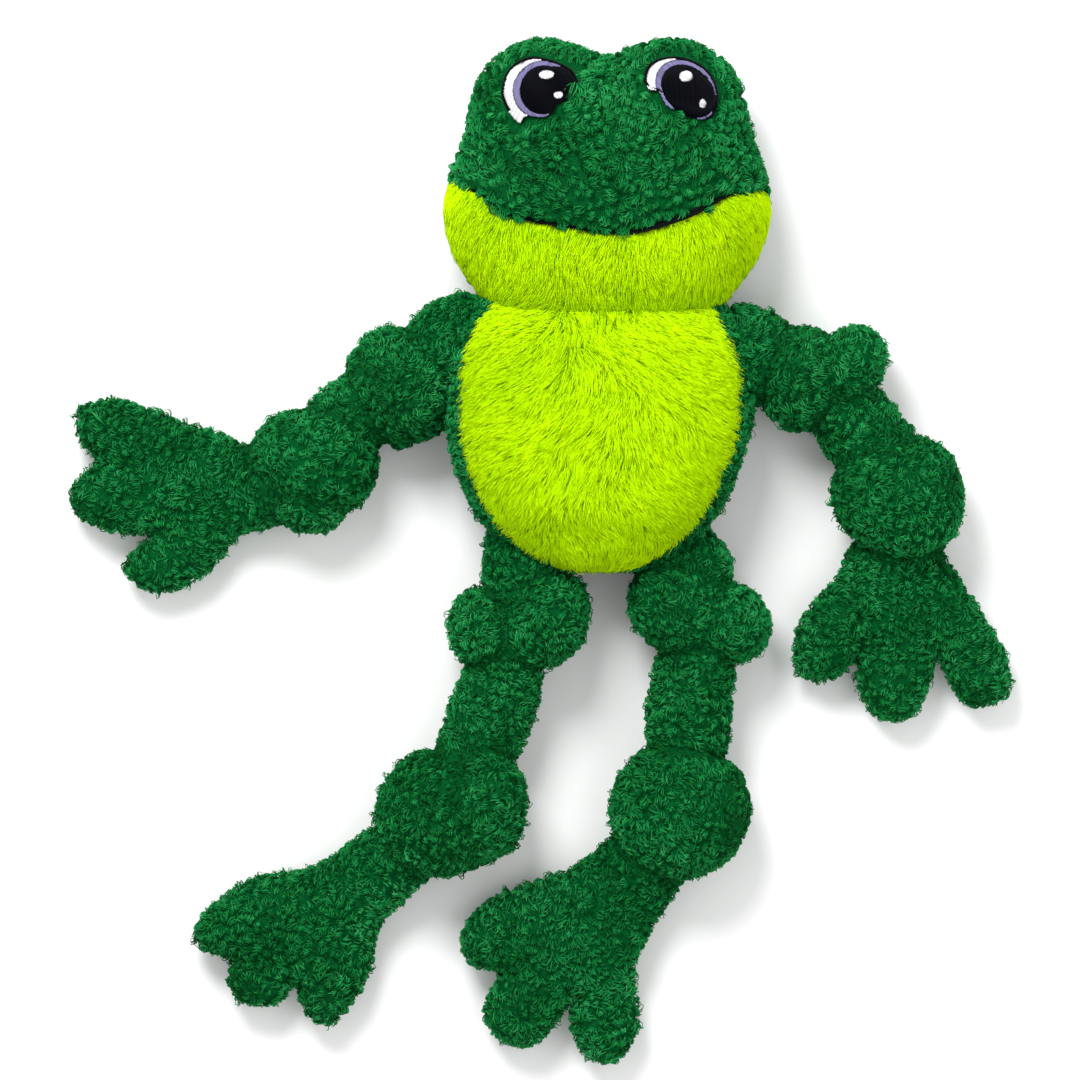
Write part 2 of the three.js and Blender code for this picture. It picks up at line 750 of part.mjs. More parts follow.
const pawRings = [1, 0.92, 0.72, 0.4];
const pawInnerRings = [1, 0.6];
const stuffingShare = 0.95;

function makePaw(name, paw, wrist) {
  const turn = new THREE.Matrix4().makeRotationZ(paw.heading * degrees);
  const socket = socketBall(wrist, pawBall);
  const behind = box([-wide, -wide, -wide], [pawStart, wide, wide]);
  const place = (solid) => {
    const matrix = new THREE.Matrix4().makeTranslation(wrist.x, wrist.y, pawMiddle).multiply(turn);
    return solid.subtract(behind).transform(matrix.elements).subtract(socket);
  };
  const shell = (side) => ringSolid([
    ...pawBowl(paw, side, pawPlush, pawInnerRings).reverse(),
    ...pawBowl(paw, side, 0, pawRings),
  ]).translate(0, 0, (side * clearance) / 2);
  const stuffing = ringSolid([
    ...pawBowl(paw, -1, pawPlush, pawInnerRings, stuffingShare).reverse(),
    ...pawBowl(paw, 1, pawPlush, pawInnerRings, stuffingShare),
  ]);
  const underside = name.endsWith('foot') ? 'sole' : 'palm';
  add(`${name}_top`, place(shell(1)), 'sherpa');
  add(`${name}_${underside}`, onFloor(place(shell(-1))), 'sherpa');
  add(`${name}_stuffing`, place(stuffing), 'fill');
}

// Limbs

function chain(root, stretches, heights) {
  const points = [root];
  stretches.forEach(([slack, angle], i) => {
    points.push(along(points.at(-1), heading(angle), nearestKnot + slack).setZ(heights[i]));
  });
  return points;
}

function makeLimb(name, limb) {
  const side = name.split('_')[0];
  const heights = [knotHeight, elbowHeight, knotHeight, pawMiddle];
  const [root, knotA, bend, knotB, wrist] = chain(rootOf(limb), [...limb.upper, ...limb.lower], heights);
  const [upper, lower, paw] = limb.names.map((part) => `${side}_${part}`);
  const segment = (body, start, knot, end, startBall, endBall) => {
    const into = knot.clone().sub(start).normalize();
    const out = end.clone().sub(knot).normalize();
    const ropeStart = along(start, into, ropeStartIn(startBall));
    const ropeEnd = along(end, out, ropeEndIn(endBall));
    add(`${body}_sleeve`, sleeve(start, knot, end, startBall, endBall), 'sherpa');
    const knotted = rope(knotCurve(ropeStart, knot, ropeEnd), knotSteps);
    add(`${body}_knot`, knotted.subtract(socketBall(start, startBall)), 'rope');
  };
  segment(upper, root, knotA, bend, limbBall, limbBall);
  segment(lower, bend, knotB, wrist, limbBall, pawBall);
  makePaw(paw, limb.paw, wrist);
}

makeTorso();
makeHead();
for (const [name, limb] of Object.entries(limbs)) makeLimb(name, limb);

const whole = new THREE.Box3().setFromObject(frog).getCenter(new THREE.Vector3());
frog.position.set(-whole.x, -whole.y, 0);

export default frog;
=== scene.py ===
"""The looks of a plush frog toy with knotted limbs, laid on its back and seen from straight above.

Shapes are worked out in millimetres in the frame's own axes: +Z up, +Y towards the top of the head.
"""

import itertools
import json
import math

import bpy
import numpy as np
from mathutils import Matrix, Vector
from mathutils.kdtree import KDTree


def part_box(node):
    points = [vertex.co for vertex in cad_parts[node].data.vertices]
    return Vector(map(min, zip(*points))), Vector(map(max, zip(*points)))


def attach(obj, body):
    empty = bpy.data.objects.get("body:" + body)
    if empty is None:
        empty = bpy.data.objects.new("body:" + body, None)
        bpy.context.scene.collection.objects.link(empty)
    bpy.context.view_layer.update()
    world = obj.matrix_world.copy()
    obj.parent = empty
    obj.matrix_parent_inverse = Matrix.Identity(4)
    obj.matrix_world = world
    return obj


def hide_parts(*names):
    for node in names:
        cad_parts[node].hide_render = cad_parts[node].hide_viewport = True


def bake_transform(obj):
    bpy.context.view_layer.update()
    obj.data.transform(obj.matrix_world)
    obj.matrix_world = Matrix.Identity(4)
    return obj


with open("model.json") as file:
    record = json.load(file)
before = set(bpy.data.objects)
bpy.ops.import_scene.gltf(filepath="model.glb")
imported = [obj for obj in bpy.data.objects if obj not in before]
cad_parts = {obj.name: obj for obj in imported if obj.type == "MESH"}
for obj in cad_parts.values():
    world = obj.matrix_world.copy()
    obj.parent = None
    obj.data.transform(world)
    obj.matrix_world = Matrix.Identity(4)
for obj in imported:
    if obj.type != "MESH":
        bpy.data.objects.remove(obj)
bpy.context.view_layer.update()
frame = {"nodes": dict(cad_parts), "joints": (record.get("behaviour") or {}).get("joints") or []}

MM = 0.001

joints = {joint["name"]: joint for joint in frame["joints"]}


def pivot_of(name):
    return np.array(joints[name]["pos_m"]) / MM


def corners_of(node):
    low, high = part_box(node)
    return np.array(low) / MM, np.array(high) / MM


# Small maths


def unit(v):
    return v / np.maximum(np.linalg.norm(v, axis=-1, keepdims=True), 1e-9)


def smoothstep(low, high, x):
    t = np.clip((x - low) / (high - low), 0, 1)
    return t * t * (3 - 2 * t)


def smooth_min(a, b, width):
    """The lesser of two, rounded off where they are within width of each other"""
    h = np.clip(0.5 + 0.5 * (b - a) / width, 0, 1)
    return b + (a - b) * h - width * h * (1 - h)


def smooth_max(a, b, width):
    return -smooth_min(-a, -b, width)


def turned(x, y, degrees):
    c, s = math.cos(math.radians(degrees)), math.sin(math.radians(degrees))
    return c * x + s * y, c * y - s * x


def spline(points, count, closed=False):
    """A Catmull-Rom curve through points, resampled to count points"""
    p = np.asarray(points, float)
    if closed:
        p = np.vstack([p[-1], p, p[:2]])
    else:
        p = np.vstack([2 * p[0] - p[1], p, 2 * p[-1] - p[-2]])
    spans = len(p) - 3
    at = np.linspace(0, spans, count, endpoint=not closed)
    i = np.minimum(at.astype(int), spans - 1)
    t = (at - i)[:, None]
    a, b, c, d = (p[i + k] for k in range(4))
    squared = (2 * a - 5 * b + 4 * c - d) * t ** 2
    cubed = (3 * b - a - 3 * c + d) * t ** 3
    return 0.5 * (2 * b + (c - a) * t + squared + cubed)


def noise(points, size, seed):
    """Smooth noise from -1 to 1, with features of that size"""
    p = points / size + 31.7 * (seed + 1)
    base = np.floor(p)
    f = p - base
    f = f * f * (3 - 2 * f)
    total = np.zeros(len(p))
    for corner in itertools.product((0, 1), repeat=3):
        h = np.sin((base + corner) @ (127.1, 311.7, 74.7) + 57.3 * seed) * 43758.5453
        weight = np.prod(np.where(corner, f, 1 - f), axis=1)
        total += (h - np.floor(h)) * weight
    return 2 * total - 1


# Surfaces: a field is below zero inside a shape


def skin_of(field, low, high, step):
    """The zero surface of a field as points and quads, by surface nets on a grid"""
    axes = [np.arange(a - 2 * step, b + 3 * step, step) for a, b in zip(low, high)]
    grid = np.stack(np.meshgrid(*axes, indexing="ij"), -1)
    value = field(grid.reshape(-1, 3)).reshape(grid.shape[:3])
    cells = tuple(n - 1 for n in value.shape)
    total = np.zeros(cells + (3,))
    count = np.zeros(cells)
    offsets = list(itertools.product((0, 1), repeat=3))

    def at(offset):
        return value[tuple(slice(o, o + n) for o, n in zip(offset, cells))]

    for a, b in itertools.combinations(offsets, 2):
        if sum(abs(i - j) for i, j in zip(a, b)) != 1:
            continue
        va, vb = at(a), at(b)
        crossing = (va < 0) != (vb < 0)
        t = np.where(crossing, va / np.where(crossing, va - vb, 1), 0)
        place = np.array(a) + t[..., None] * (np.array(b) - np.array(a))
        total += np.where(crossing[..., None], place, 0)
        count += crossing
    used = count > 0
    index = np.full(cells, -1)
    index[used] = np.arange(used.sum())
    first = np.array([axis[0] for axis in axes])
    points = first + step * (np.argwhere(used) + total[used] / count[used][:, None])
    quads = []
    one = np.eye(3, dtype=int)
    for axis in range(3):
        u, v = one[axis - 2], one[axis - 1]
        core = [slice(1, n) for n in cells]
        core[axis] = slice(0, cells[axis])
        ahead = list(core)
        ahead[axis] = slice(1, cells[axis] + 1)
        va, vb = value[tuple(core)], value[tuple(ahead)]
        where = np.argwhere((va < 0) != (vb < 0))
        leaving = va[tuple(where.T)] < 0
        where = where + u + v
        ring = np.stack([index[tuple((where - move).T)] for move in (0 * u, u, u + v, v)], 1)
        quads.append(np.where(leaving[:, None], ring, ring[:, ::-1]))
    return points, np.vstack(quads)


def halved(points, quads):
    """The same surface with each quad split into four"""
    edges = np.sort(np.stack([quads, np.roll(quads, -1, axis=1)], -1).reshape(-1, 2), axis=1)
    keys, index = np.unique(edges[:, 0] * len(points) + edges[:, 1], return_inverse=True)
    middles = (points[keys // len(points)] + points[keys % len(points)]) / 2
    index = index.reshape(-1, 4) + len(points)
    centre = len(points) + len(keys) + np.arange(len(quads))
    parts = [np.column_stack([quads[:, i], index[:, i], centre, index[:, i - 1]]) for i in range(4)]
    return np.vstack([points, middles, points[quads].mean(1)]), np.vstack(parts)


def point_normals(points, triangles):
    a, b, c = (points[triangles[:, i]] for i in range(3))
    normals = np.zeros_like(points)
    np.add.at(normals, triangles.ravel(), np.repeat(np.cross(b - a, c - a), 3, axis=0))
    return unit(normals)


def triangles_of(quads):
    return np.vstack([quads[:, [0, 1, 2]], quads[:, [0, 2, 3]]])


def tree_of(points):
    tree = KDTree(len(points))
    for i, point in enumerate(points):
        tree.insert(point, i)
    tree.balance()
    return tree


def scatter(points, quads, apart, rng):
    """Places all over a surface, none nearer than that to the next, with their normals"""
    triangles = triangles_of(quads)
    a, b, c = (points[triangles[:, i]] for i in range(3))
    area = np.linalg.norm(np.cross(b - a, c - a), axis=1) / 2
    normals = point_normals(points, triangles)
    picks = rng.choice(len(area), int(5 * area.sum() / apart ** 2), p=area / area.sum())
    u, v = rng.random(len(picks)), rng.random(len(picks))
    flip = u + v > 1
    u, v = np.where(flip, 1 - u, u)[:, None], np.where(flip, 1 - v, v)[:, None]

    def within(corner_values):
        a, b, c = (corner_values[triangles[picks, i]] for i in range(3))
        return a + u * (b - a) + v * (c - a)

    places = within(points)
    leans = unit(within(normals))
    tree = tree_of(places)
    free = np.ones(len(places), bool)
    kept = []
    for i in range(len(places)):
        if free[i]:
            kept.append(i)
            free[[near[1] for near in tree.find_range(places[i], apart)]] = False
    return places[kept], leans[kept]


def slope_of(field, p, by=0.4):
    """The outward direction of a field at points on its surface"""
    here = field(p)
    return unit(np.stack([field(p + by * axis) - here for axis in np.eye(3)], 1))


def nearest_two(points, centres):
    """For each point, the nearest of the centres, the distance to it and that to the next"""
    tree = tree_of(centres)
    found = [tree.find_n(point, 2) for point in points]
    near, far = (np.array([pair[i][2] for pair in found]) for i in (0, 1))
    return np.array([pair[0][1] for pair in found]), near, far


# Meshes

# How wide a plan the bake map of a skin takes in, and on the map of strands the edge left free, the span of
# the tones and the width of a strand
MAP_WIDTH = 500
MAP_EDGE = 0.02
MAP_SPAN = 0.9
MAP_STRAND = 0.015


def mesh_object(name, material, points, faces, along=None, tone=None, places=None):
    """An object from points in mm and face arrays, with its fibre values and bake map, or else its plan"""
    mesh = bpy.data.meshes.new(name)
    mesh.vertices.add(len(points))
    mesh.vertices.foreach_set("co", (points * MM).ravel().astype(np.float32))
    corners = np.concatenate([f.ravel() for f in faces]).astype(np.int32)
    sizes = np.concatenate([np.full(len(f), f.shape[1]) for f in faces])
    mesh.loops.add(len(corners))
    mesh.loops.foreach_set("vertex_index", corners)
    mesh.polygons.add(len(sizes))
    mesh.polygons.foreach_set("loop_start", (np.cumsum(sizes) - sizes).astype(np.int32))
    mesh.update(calc_edges=True)
    for key, values in (("along", along), ("tone", tone)):
        if values is not None:
            layer = mesh.attributes.new(key, "FLOAT", "POINT")
            layer.data.foreach_set("value", values.astype(np.float32))
    if places is None:
        places = points[:, :2] / MAP_WIDTH + 0.5
    layer = mesh.uv_layers.new(name="OFBake")
    layer.data.foreach_set("uv", places[corners].ravel().astype(np.float32))
    mesh.polygons.foreach_set("use_smooth", np.ones(len(sizes), bool))
    mesh.materials.append(material)
    obj = bpy.data.objects.new(name, mesh)
    bpy.context.scene.collection.objects.link(obj)
    return obj


def strand_mesh(paths, widths, normals, tones):
    """Three-sided tapered strands along paths, as points, faces, along, tone and map places"""
    count, steps = paths.shape[:2]
    tangent = unit(np.gradient(paths, axis=1))
    side = unit(np.cross(tangent, normals[:, None]))
    over = np.cross(side, tangent)
    rings = []
    for k in range(3):
        angle = math.radians(90 + 120 * k)
        offset = math.cos(angle) * side + math.sin(angle) * over
        rings.append(paths[:, :-1] + widths[:, :-1, None] / 2 * offset[:, :-1])
    rings = np.stack(rings, 2).reshape(count, -1, 3)
    points = np.concatenate([rings, paths[:, -1:]], 1)
    size = points.shape[1]
    quads = [[3 * i + k, 3 * i + (k + 1) % 3, 3 * i + 3 + (k + 1) % 3, 3 * i + 3 + k]
             for i in range(steps - 2) for k in range(3)]
    last = 3 * (steps - 2)
    tips = [[last + k, last + (k + 1) % 3, size - 1] for k in range(3)] + [[2, 1, 0]]
    starts = size * np.arange(count)[:, None, None]
    faces = [(np.array(f)[None] + starts).reshape(-1, len(f[0])) for f in (quads, tips)]
    share = np.append(np.repeat(np.arange(steps - 1), 3), steps - 1) / (steps - 1)
    spread = np.append(np.tile([0, 1, 2], steps - 1), 1)
    along = np.tile(share, count)
    tone = np.repeat(tones, size)
    across = np.tile(spread, count) * MAP_STRAND
    places = np.stack([MAP_EDGE + MAP_SPAN * tone + across, MAP_EDGE + MAP_SPAN * along], 1)
    return points.reshape(-1, 3), faces, along, tone, places


# How far above the surface that the toy lies on its lowest points are
FLOOR = 0.15


def lifted(points):
    points[..., 2] = np.maximum(points[..., 2], FLOOR)
    return points


# Fur


def tangent_to(normals, v):
    return unit(v - (v * normals).sum(-1, keepdims=True) * normals)


def strands_of(paths, places, normals, folds, kind, rng, shade=0.0):
    """The strands of all tufts as one list: paths, widths, the way they face and how light they are, which
    changes from place to place, from tuft to tuft and from strand to strand. Tufts in folds are darker, as
    painted shade, and shade adds painted light and shade to each strand"""
    shape = paths.shape[:2]
    steps = kind["steps"]
    t = np.linspace(0, 1, steps)
    widths = kind["strand"] * (1 - kind["taper"] * t) * (0.8 + 0.4 * rng.random(shape + (1,)))
    patches = 0.5 + 0.18 * noise(places, 30, 5) + 0.2 * noise(places, 8, 6)
    # Painted shade: tufts in folds are darker; a fold value below zero makes them lighter, as painted light
    tufts = patches + kind["mottle"] * rng.normal(size=len(places)) - 0.55 * folds
    tones = tufts[:, None] + kind["mottle"] * rng.normal(size=shape) + shade
    facing = np.broadcast_to(normals[:, None], shape + (3,)).reshape(-1, 3)
    return paths.reshape(-1, steps, 3), widths.reshape(-1, steps), facing, np.clip(tones, 0, 1).ravel()


def placed(places, normals, lean, up, ahead, aside):
    """Points that lie up, ahead along the lean and aside of places, by an amount for each strand"""
    side = np.cross(normals, lean)
    return (places[:, None] + up[..., None] * normals[:, None]
            + ahead[..., None] * lean[:, None] + aside[..., None] * side[:, None])


# How high the skin's bumps are, against the locks that lie over them
BUMP_SHARE = 0.62
# Where a lock comes down to the skin, as a squared share of its radius, and how deep its roots are
LOCK_REACH = 1.35
ROOT_DEPTH = 0.3


def bumps(points, centres, lean, folds, kind):
    """How far a skin rises under its locks: a bump for each, highest towards its tip, and creases between"""
    index, near, far = nearest_two(points, centres)
    crease = np.clip(1.4 * (far - near) / kind["radius"], 0, 1) ** 0.6
    dome = np.sqrt(np.clip(1 - (near / (1.6 * kind["radius"])) ** 2, 0, 1))
    ahead = np.clip(((points - centres[index]) * lean[index]).sum(1) / kind["radius"], -1, 1)
    return BUMP_SHARE * kind["bump"] * crease * dome * (0.85 + 0.15 * ahead) * (1 - 0.6 * folds[index])


def locks(places, normals, lean, folds, kind, rng):
    """Round locks: fine strands that lie over a bump, fan out along its lean and curl off at its edge. A few
    wild ones stand up."""
    shape = (len(places), kind["strands"])
    radius = kind["radius"] * (1 + kind["uneven"] * (2 * rng.random(len(places)) - 1)) * (1 - 0.2 * folds)
    radius = radius[:, None]
    along = rng.uniform(-1, 0.3, shape)
    across = rng.uniform(-0.85, 0.85, shape)
    turn = 0.9 * across + kind["frizz"] * rng.normal(size=shape)
    wild = (rng.random(len(places)) < kind["wild"])[:, None]
    length = kind["length"] * (0.7 + 0.6 * rng.random(shape)) * (1 + 0.3 * wild)
    sunk = (1 - 0.6 * folds)[:, None]
    stand = kind["stand"] * rng.random(shape) ** 1.5 * (1 + 1.7 * wild) * sunk
    curl = kind["curl"] * rng.normal(size=shape)
    bump = kind["bump"] * sunk
    paths = np.zeros(shape + (kind["steps"], 3))
    for k, t in enumerate(np.linspace(0, 1, kind["steps"])):
        wave = curl * math.sin(1.4 * math.pi * t)
        u = along + length * t * np.cos(turn) - wave * np.sin(turn)
        v = across + length * t * np.sin(turn) + wave * np.cos(turn)
        dome = bump * np.sqrt(np.clip(1 - (u ** 2 + v ** 2) / LOCK_REACH, 0, 1))
        up = dome + stand * math.sin(0.75 * math.pi * t) - (k == 0) * ROOT_DEPTH
        paths[:, :, k] = placed(places, normals, lean, up, u * radius, v * radius)
    # Painted light and shade: strands rooted near a lock's middle are lighter, those near its edges darker
    shade = 0.42 * (0.4 - along ** 2 - across ** 2)
    return strands_of(paths, places, normals, folds, kind, rng, shade)


def pile(places, normals, lean, folds, kind, rng):
    """Long silky strands that lie down along their lean, drawn together at their tips. In folds they are
    shorter, and lighter as painted light."""
    shape = (len(places), kind["strands"])
    size = (1 + kind["uneven"] * (2 * rng.random(len(places)) - 1)) * (1 - 0.6 * folds)
    size = size[:, None] * (0.75 + 0.5 * rng.random(shape))
    row = np.linspace(-1, 1, kind["strands"]) + 0.5 / kind["strands"] * rng.normal(size=shape)
    start = kind["scatter"] * rng.normal(size=shape)
    curl = kind["curl"] * rng.normal(size=shape)
    lift = kind["height"] * (0.6 + 0.5 * rng.random(shape))
    paths = np.zeros(shape + (kind["steps"], 3))
    for k, t in enumerate(np.linspace(0, 1, kind["steps"])):
        up = lift * math.sin(kind["arch"] * t ** 0.7)
        out = start + kind["length"] * size * t
        across = row * kind["width"] / 2 * (1 - kind["drawn"] * t) + curl * math.sin(1.3 * math.pi * t)
        paths[:, :, k] = placed(places, normals, lean, up, out, across)
    # Painted light: the folds are passed with their sign turned, so they make the pile lighter
    return strands_of(paths, places, normals, -0.4 * folds, kind, rng)


# Each kind of fur: how far apart its tufts are, how many strands each has, and the shape and lie of those
SHERPA = {
    "grow": locks, "spacing": 3.1, "strands": 17, "steps": 4, "radius": 2.1, "length": 1.5, "bump": 2.4,
    "stand": 1.2, "frizz": 0.4, "curl": 0.2, "uneven": 0.4, "combed": 0.8, "stray": 0.5, "taper": 0.3,
    "strand": 0.56, "mottle": 0.1, "wild": 0.16,
}
FACE_SHERPA = {
    **SHERPA, "spacing": 3.9, "strands": 32, "radius": 2.6, "length": 1.35, "bump": 3.2, "stand": 1.0,
    "frizz": 0.35, "stray": 0.35, "strand": 0.52, "wild": 0.08,
}
LIME = {
    "grow": pile, "spacing": 1.9, "strands": 12, "steps": 4, "length": 9.5, "height": 2.2, "width": 2.8,
    "uneven": 0.15, "combed": 1.0, "stray": 0.08, "scatter": 1.4, "curl": 0.4, "arch": 2.7, "drawn": 0.5,
    "taper": 0.5, "strand": 0.36, "mottle": 0.07, "bump": 0,
}


# Materials


def srgb(red, green, blue):
    """A colour as it shows on a screen, from 0 to 255, as linear values"""
    shares = [c / 255 for c in (red, green, blue)]
    return tuple(c / 12.92 if c <= 0.04045 else ((c + 0.055) / 1.055) ** 2.4 for c in shares) + (1.0,)


def material(name, roughness, gloss):
    made = bpy.data.materials.new(name)
    made.use_nodes = True
    shader = made.node_tree.nodes["Principled BSDF"]
    shader.inputs["Roughness"].default_value = roughness
    shader.inputs["Specular IOR Level"].default_value = gloss
    return made, made.node_tree, shader


def ramped(tree, value, stops):
    """The colour that a value has between those stops"""
    node = tree.nodes.new("ShaderNodeValToRGB")
    elements = node.color_ramp.elements
    while len(elements) < len(stops):
        elements.new(0.5)
    for element, (at, colour) in zip(elements, stops):
        element.position = at
        element.color = colour
    tree.links.new(value, node.inputs["Fac"])
    return node.outputs["Color"]


def multiplied(tree, a, b):
    node = tree.nodes.new("ShaderNodeMix")
    node.data_type = "RGBA"
    node.blend_type = "MULTIPLY"
    node.inputs["Factor"].default_value = 1.0
    tree.links.new(a, node.inputs["A"])
    tree.links.new(b, node.inputs["B"])
    return node.outputs["Result"]


def fibre_value(tree, name):
    node = tree.nodes.new("ShaderNodeAttribute")
    node.attribute_name = name
    return node.outputs["Fac"]


def fibre_material(name, along_stops, tone_stops):
    """Fibres that change from root to tip, with painted shade at the root and painted light at the tip, and
    from one lock to the next
    """
    made, tree, shader = material(name, 0.75, 0.06)
    body = ramped(tree, fibre_value(tree, "along"), along_stops)
    tint = ramped(tree, fibre_value(tree, "tone"), tone_stops)
    tree.links.new(multiplied(tree, body, tint), shader.inputs["Base Color"])
    return made


def thread_material(name, colour):
    """Shiny thread, dimmer from one row to the next"""
    made, tree, shader = material(name, 0.5, 0.05)
    dim = tuple(0.72 * c for c in colour[:3]) + (1,)
    body = ramped(tree, fibre_value(tree, "tone"), [(0.0, dim), (1.0, colour)])
    tree.links.new(body, shader.inputs["Base Color"])
    return made


def textured_material(name, roughness, texture, scale, detail, stops, relief, depth):
    """A surface whose colour and small bumps follow a texture, and that texture's node"""
    made, tree, shader = material(name, roughness, 0.06)
    places = tree.nodes.new("ShaderNodeTexCoord")
    grain = tree.nodes.new(texture)
    grain.inputs["Scale"].default_value = scale
    grain.inputs["Detail"].default_value = detail
    tree.links.new(places.outputs["Object"], grain.inputs["Vector"])
    tree.links.new(ramped(tree, grain.outputs["Fac"], stops), shader.inputs["Base Color"])
    bump = tree.nodes.new("ShaderNodeBump")
    bump.inputs["Strength"].default_value = relief
    bump.inputs["Distance"].default_value = depth
    tree.links.new(grain.outputs["Fac"], bump.inputs["Height"])
    tree.links.new(bump.outputs["Normal"], shader.inputs["Normal"])
    return made, grain


def backing_material(name, dark, light, scale=450, relief=0.4):
    """A grainy surface, such as the knitted backing between the locks"""
    stops = [(0.3, dark), (0.7, light)]
    made, _ = textured_material(name, 0.95, "ShaderNodeTexNoise", scale, 3, stops, relief, 0.0005)
    return made


def woven_material(name, dark, light, roughness, scale=900):
    """Fine ribs, as of a close weave or a rope's twist"""
    stops = [(0.2, dark), (0.8, light)]
    made, ribs = textured_material(name, roughness, "ShaderNodeTexWave", scale, 2, stops, 0.5, 0.0004)
    ribs.bands_direction = "DIAGONAL"
    ribs.inputs["Distortion"].default_value = 1.5
    return made


# Tints by tone: tone varies at random, and carries painted shade in folds and at lock edges and painted light
# at lock middles; for the pile, painted light near seams
DARK_TO_LIGHT = [(0.0, (0.3, 0.42, 0.34, 1)), (0.5, (1, 1, 1, 1)), (1.0, (3.2, 1.55, 2.0, 1))]
PILE_TINTS_MOTTLE_AND_PAINTED_LIGHT = [(0.0, (0.76, 0.85, 0.8, 1)), (0.5, (1, 1, 1, 1)), (1.0, (1.12, 1.04, 1.4, 1))]
# For both fibres, the darker roots are painted shade and the lighter tips painted light
sherpa = fibre_material(
    "green_sherpa_fibre",
    [(0.0, srgb(0, 92, 38)), (0.3, srgb(10, 120, 54)), (0.7, srgb(34, 148, 74)), (1.0, srgb(72, 182, 104))],
    DARK_TO_LIGHT)
lime = fibre_material(
    "lime_pile_fibre",
    [(0.0, srgb(172, 220, 0)), (0.3, srgb(200, 244, 0)), (0.7, srgb(210, 250, 0)), (1.0, srgb(216, 253, 6))],
    PILE_TINTS_MOTTLE_AND_PAINTED_LIGHT)
# The knitted backing is real, but its green is darker than the fibres' roots: painted shade for the gaps
# between the locks
sherpa_backing = backing_material("green_backing", srgb(0, 60, 24), srgb(0, 82, 34))
lime_backing = backing_material("lime_backing", srgb(176, 224, 0), srgb(192, 236, 0))

# Places from the frame

neck = pivot_of("neck_nod")
torso_low, torso_high = corners_of("torso_back_panel")
_, belly_high = corners_of("belly_panel")
crease_y = neck[1]
seam_z = neck[2]
torso_x = (torso_low[0] + torso_high[0]) / 2
torso_half_width = (torso_high[0] - torso_low[0]) / 2
torso_length = crease_y - torso_low[1]
belly_height = belly_high[2] - seam_z
back_depth = seam_z
head_x = neck[0]
head_low, head_high = corners_of("head_back_panel")
head_half_width = (head_high[0] - head_low[0]) / 2
head_height = head_high[1] - crease_y
head_crown = 52.0

# How far the skin lies inside the fur's outline
SHERPA_DEPTH = 2.7
HEAD_DEPTH = 3.3
LIME_DEPTH = 2.8

# Torso

# Stations down the torso: share of the length, of the half width, of the belly height, of the back depth, and
# how far the middle is moved to the right
TORSO_END = 0.99
TORSO_STATIONS = [
    (-0.22, 0.6, 0.3, 0.5, 0), (-0.1, 0.7, 0.46, 0.66, 0), (0, 0.8, 0.55, 0.72, 0),
    (0.07, 0.87, 0.7, 0.84, 0), (0.18, 0.96, 0.87, 0.95, 0), (0.36, 0.995, 0.99, 1.02, 0),
    (0.54, 0.955, 1, 1.02, -0.8), (0.74, 0.81, 0.9, 0.97, -1.6), (0.86, 0.62, 0.7, 0.82, -1.6),
    (0.94, 0.41, 0.48, 0.56, -1), (0.98, 0.22, 0.24, 0.3, 0), (TORSO_END, 0, 0, 0, 0),
]
torso_curve = spline(TORSO_STATIONS, 200)
TORSO_ROUNDNESS = 2.3
# How far the torso goes on into the head
TORSO_IN_HEAD = 24


def torso_section(y):
    down = (crease_y - y) / torso_length
    wide, front, back, moved = (np.interp(down, torso_curve[:, 0], torso_curve[:, i]) for i in (1, 2, 3, 4))
    return torso_half_width * wide, belly_height * front, back_depth * back, torso_x + moved


def torso_field(p, depth=SHERPA_DEPTH):
    width, front, back, middle = torso_section(p[:, 1])
    x = p[:, 0] - middle
    z = p[:, 2] - seam_z
    high = np.maximum(np.where(z > 0, front, back) - depth, 0.5)
    wide = np.maximum(width - depth, 0.5)
    power = TORSO_ROUNDNESS
    share = (np.abs(x / wide) ** power + np.abs(z / high) ** power) ** (1 / power)
    round_part = (share - 1) * np.minimum(wide, high)
    lower_end = crease_y - TORSO_END * torso_length + depth - p[:, 1]
    ends = np.maximum(lower_end, p[:, 1] - crease_y - TORSO_IN_HEAD)
    return np.maximum(smooth_max(round_part, ends, 3) + 0.5 * noise(p, 20, 42), -p[:, 2])


BELLY_SEAM = 0.47


def belly_rise(p):
    """How far above the belly's seam a point lies"""
    _, front, _, _ = torso_section(p[:, 1])
    return p[:, 2] - seam_z - BELLY_SEAM * front


# Head

# Half of the head's outline, as shares of the half width and of the height above the neck crease
HEAD_OUTLINE = [
    (0, -0.12), (0.42, -0.1), (0.66, -0.04), (0.82, 0.07), (0.945, 0.2), (1, 0.36), (0.957, 0.5),
    (0.88, 0.63), (0.834, 0.76), (0.75, 0.89), (0.58, 0.975), (0.42, 1), (0.25, 0.985), (0.1, 0.95),
    (0, 0.94),
]
HEAD_MIDDLE = np.array([0, 0.43 * head_height])
# The middle, half width and half height of the snout and of the dip between the eyes
SNOUT = ((0, 56), 40, 20)
DIP = ((2, 108), 14, 16)
EYE_CENTRES = ((-29, 93), (33, 93))
EYE_BUMP = (21, 22)
# How far the chin leans to the left
CHIN_LEAN = 1.2
half_outline = np.array(HEAD_OUTLINE) * [head_half_width, head_height]
mirrored = half_outline[::-1][1:-1] * [-1, 1]
head_outline = spline(np.vstack([half_outline, mirrored]), 720, closed=True) - HEAD_MIDDLE
outline_angles = np.unwrap(np.arctan2(head_outline[:, 1], head_outline[:, 0]))
outline_reach = np.hypot(head_outline[:, 0], head_outline[:, 1])


def lump(x, y, at, wide, high):
    return np.exp(-((x - at[0]) / wide) ** 2 - ((y - at[1]) / high) ** 2)


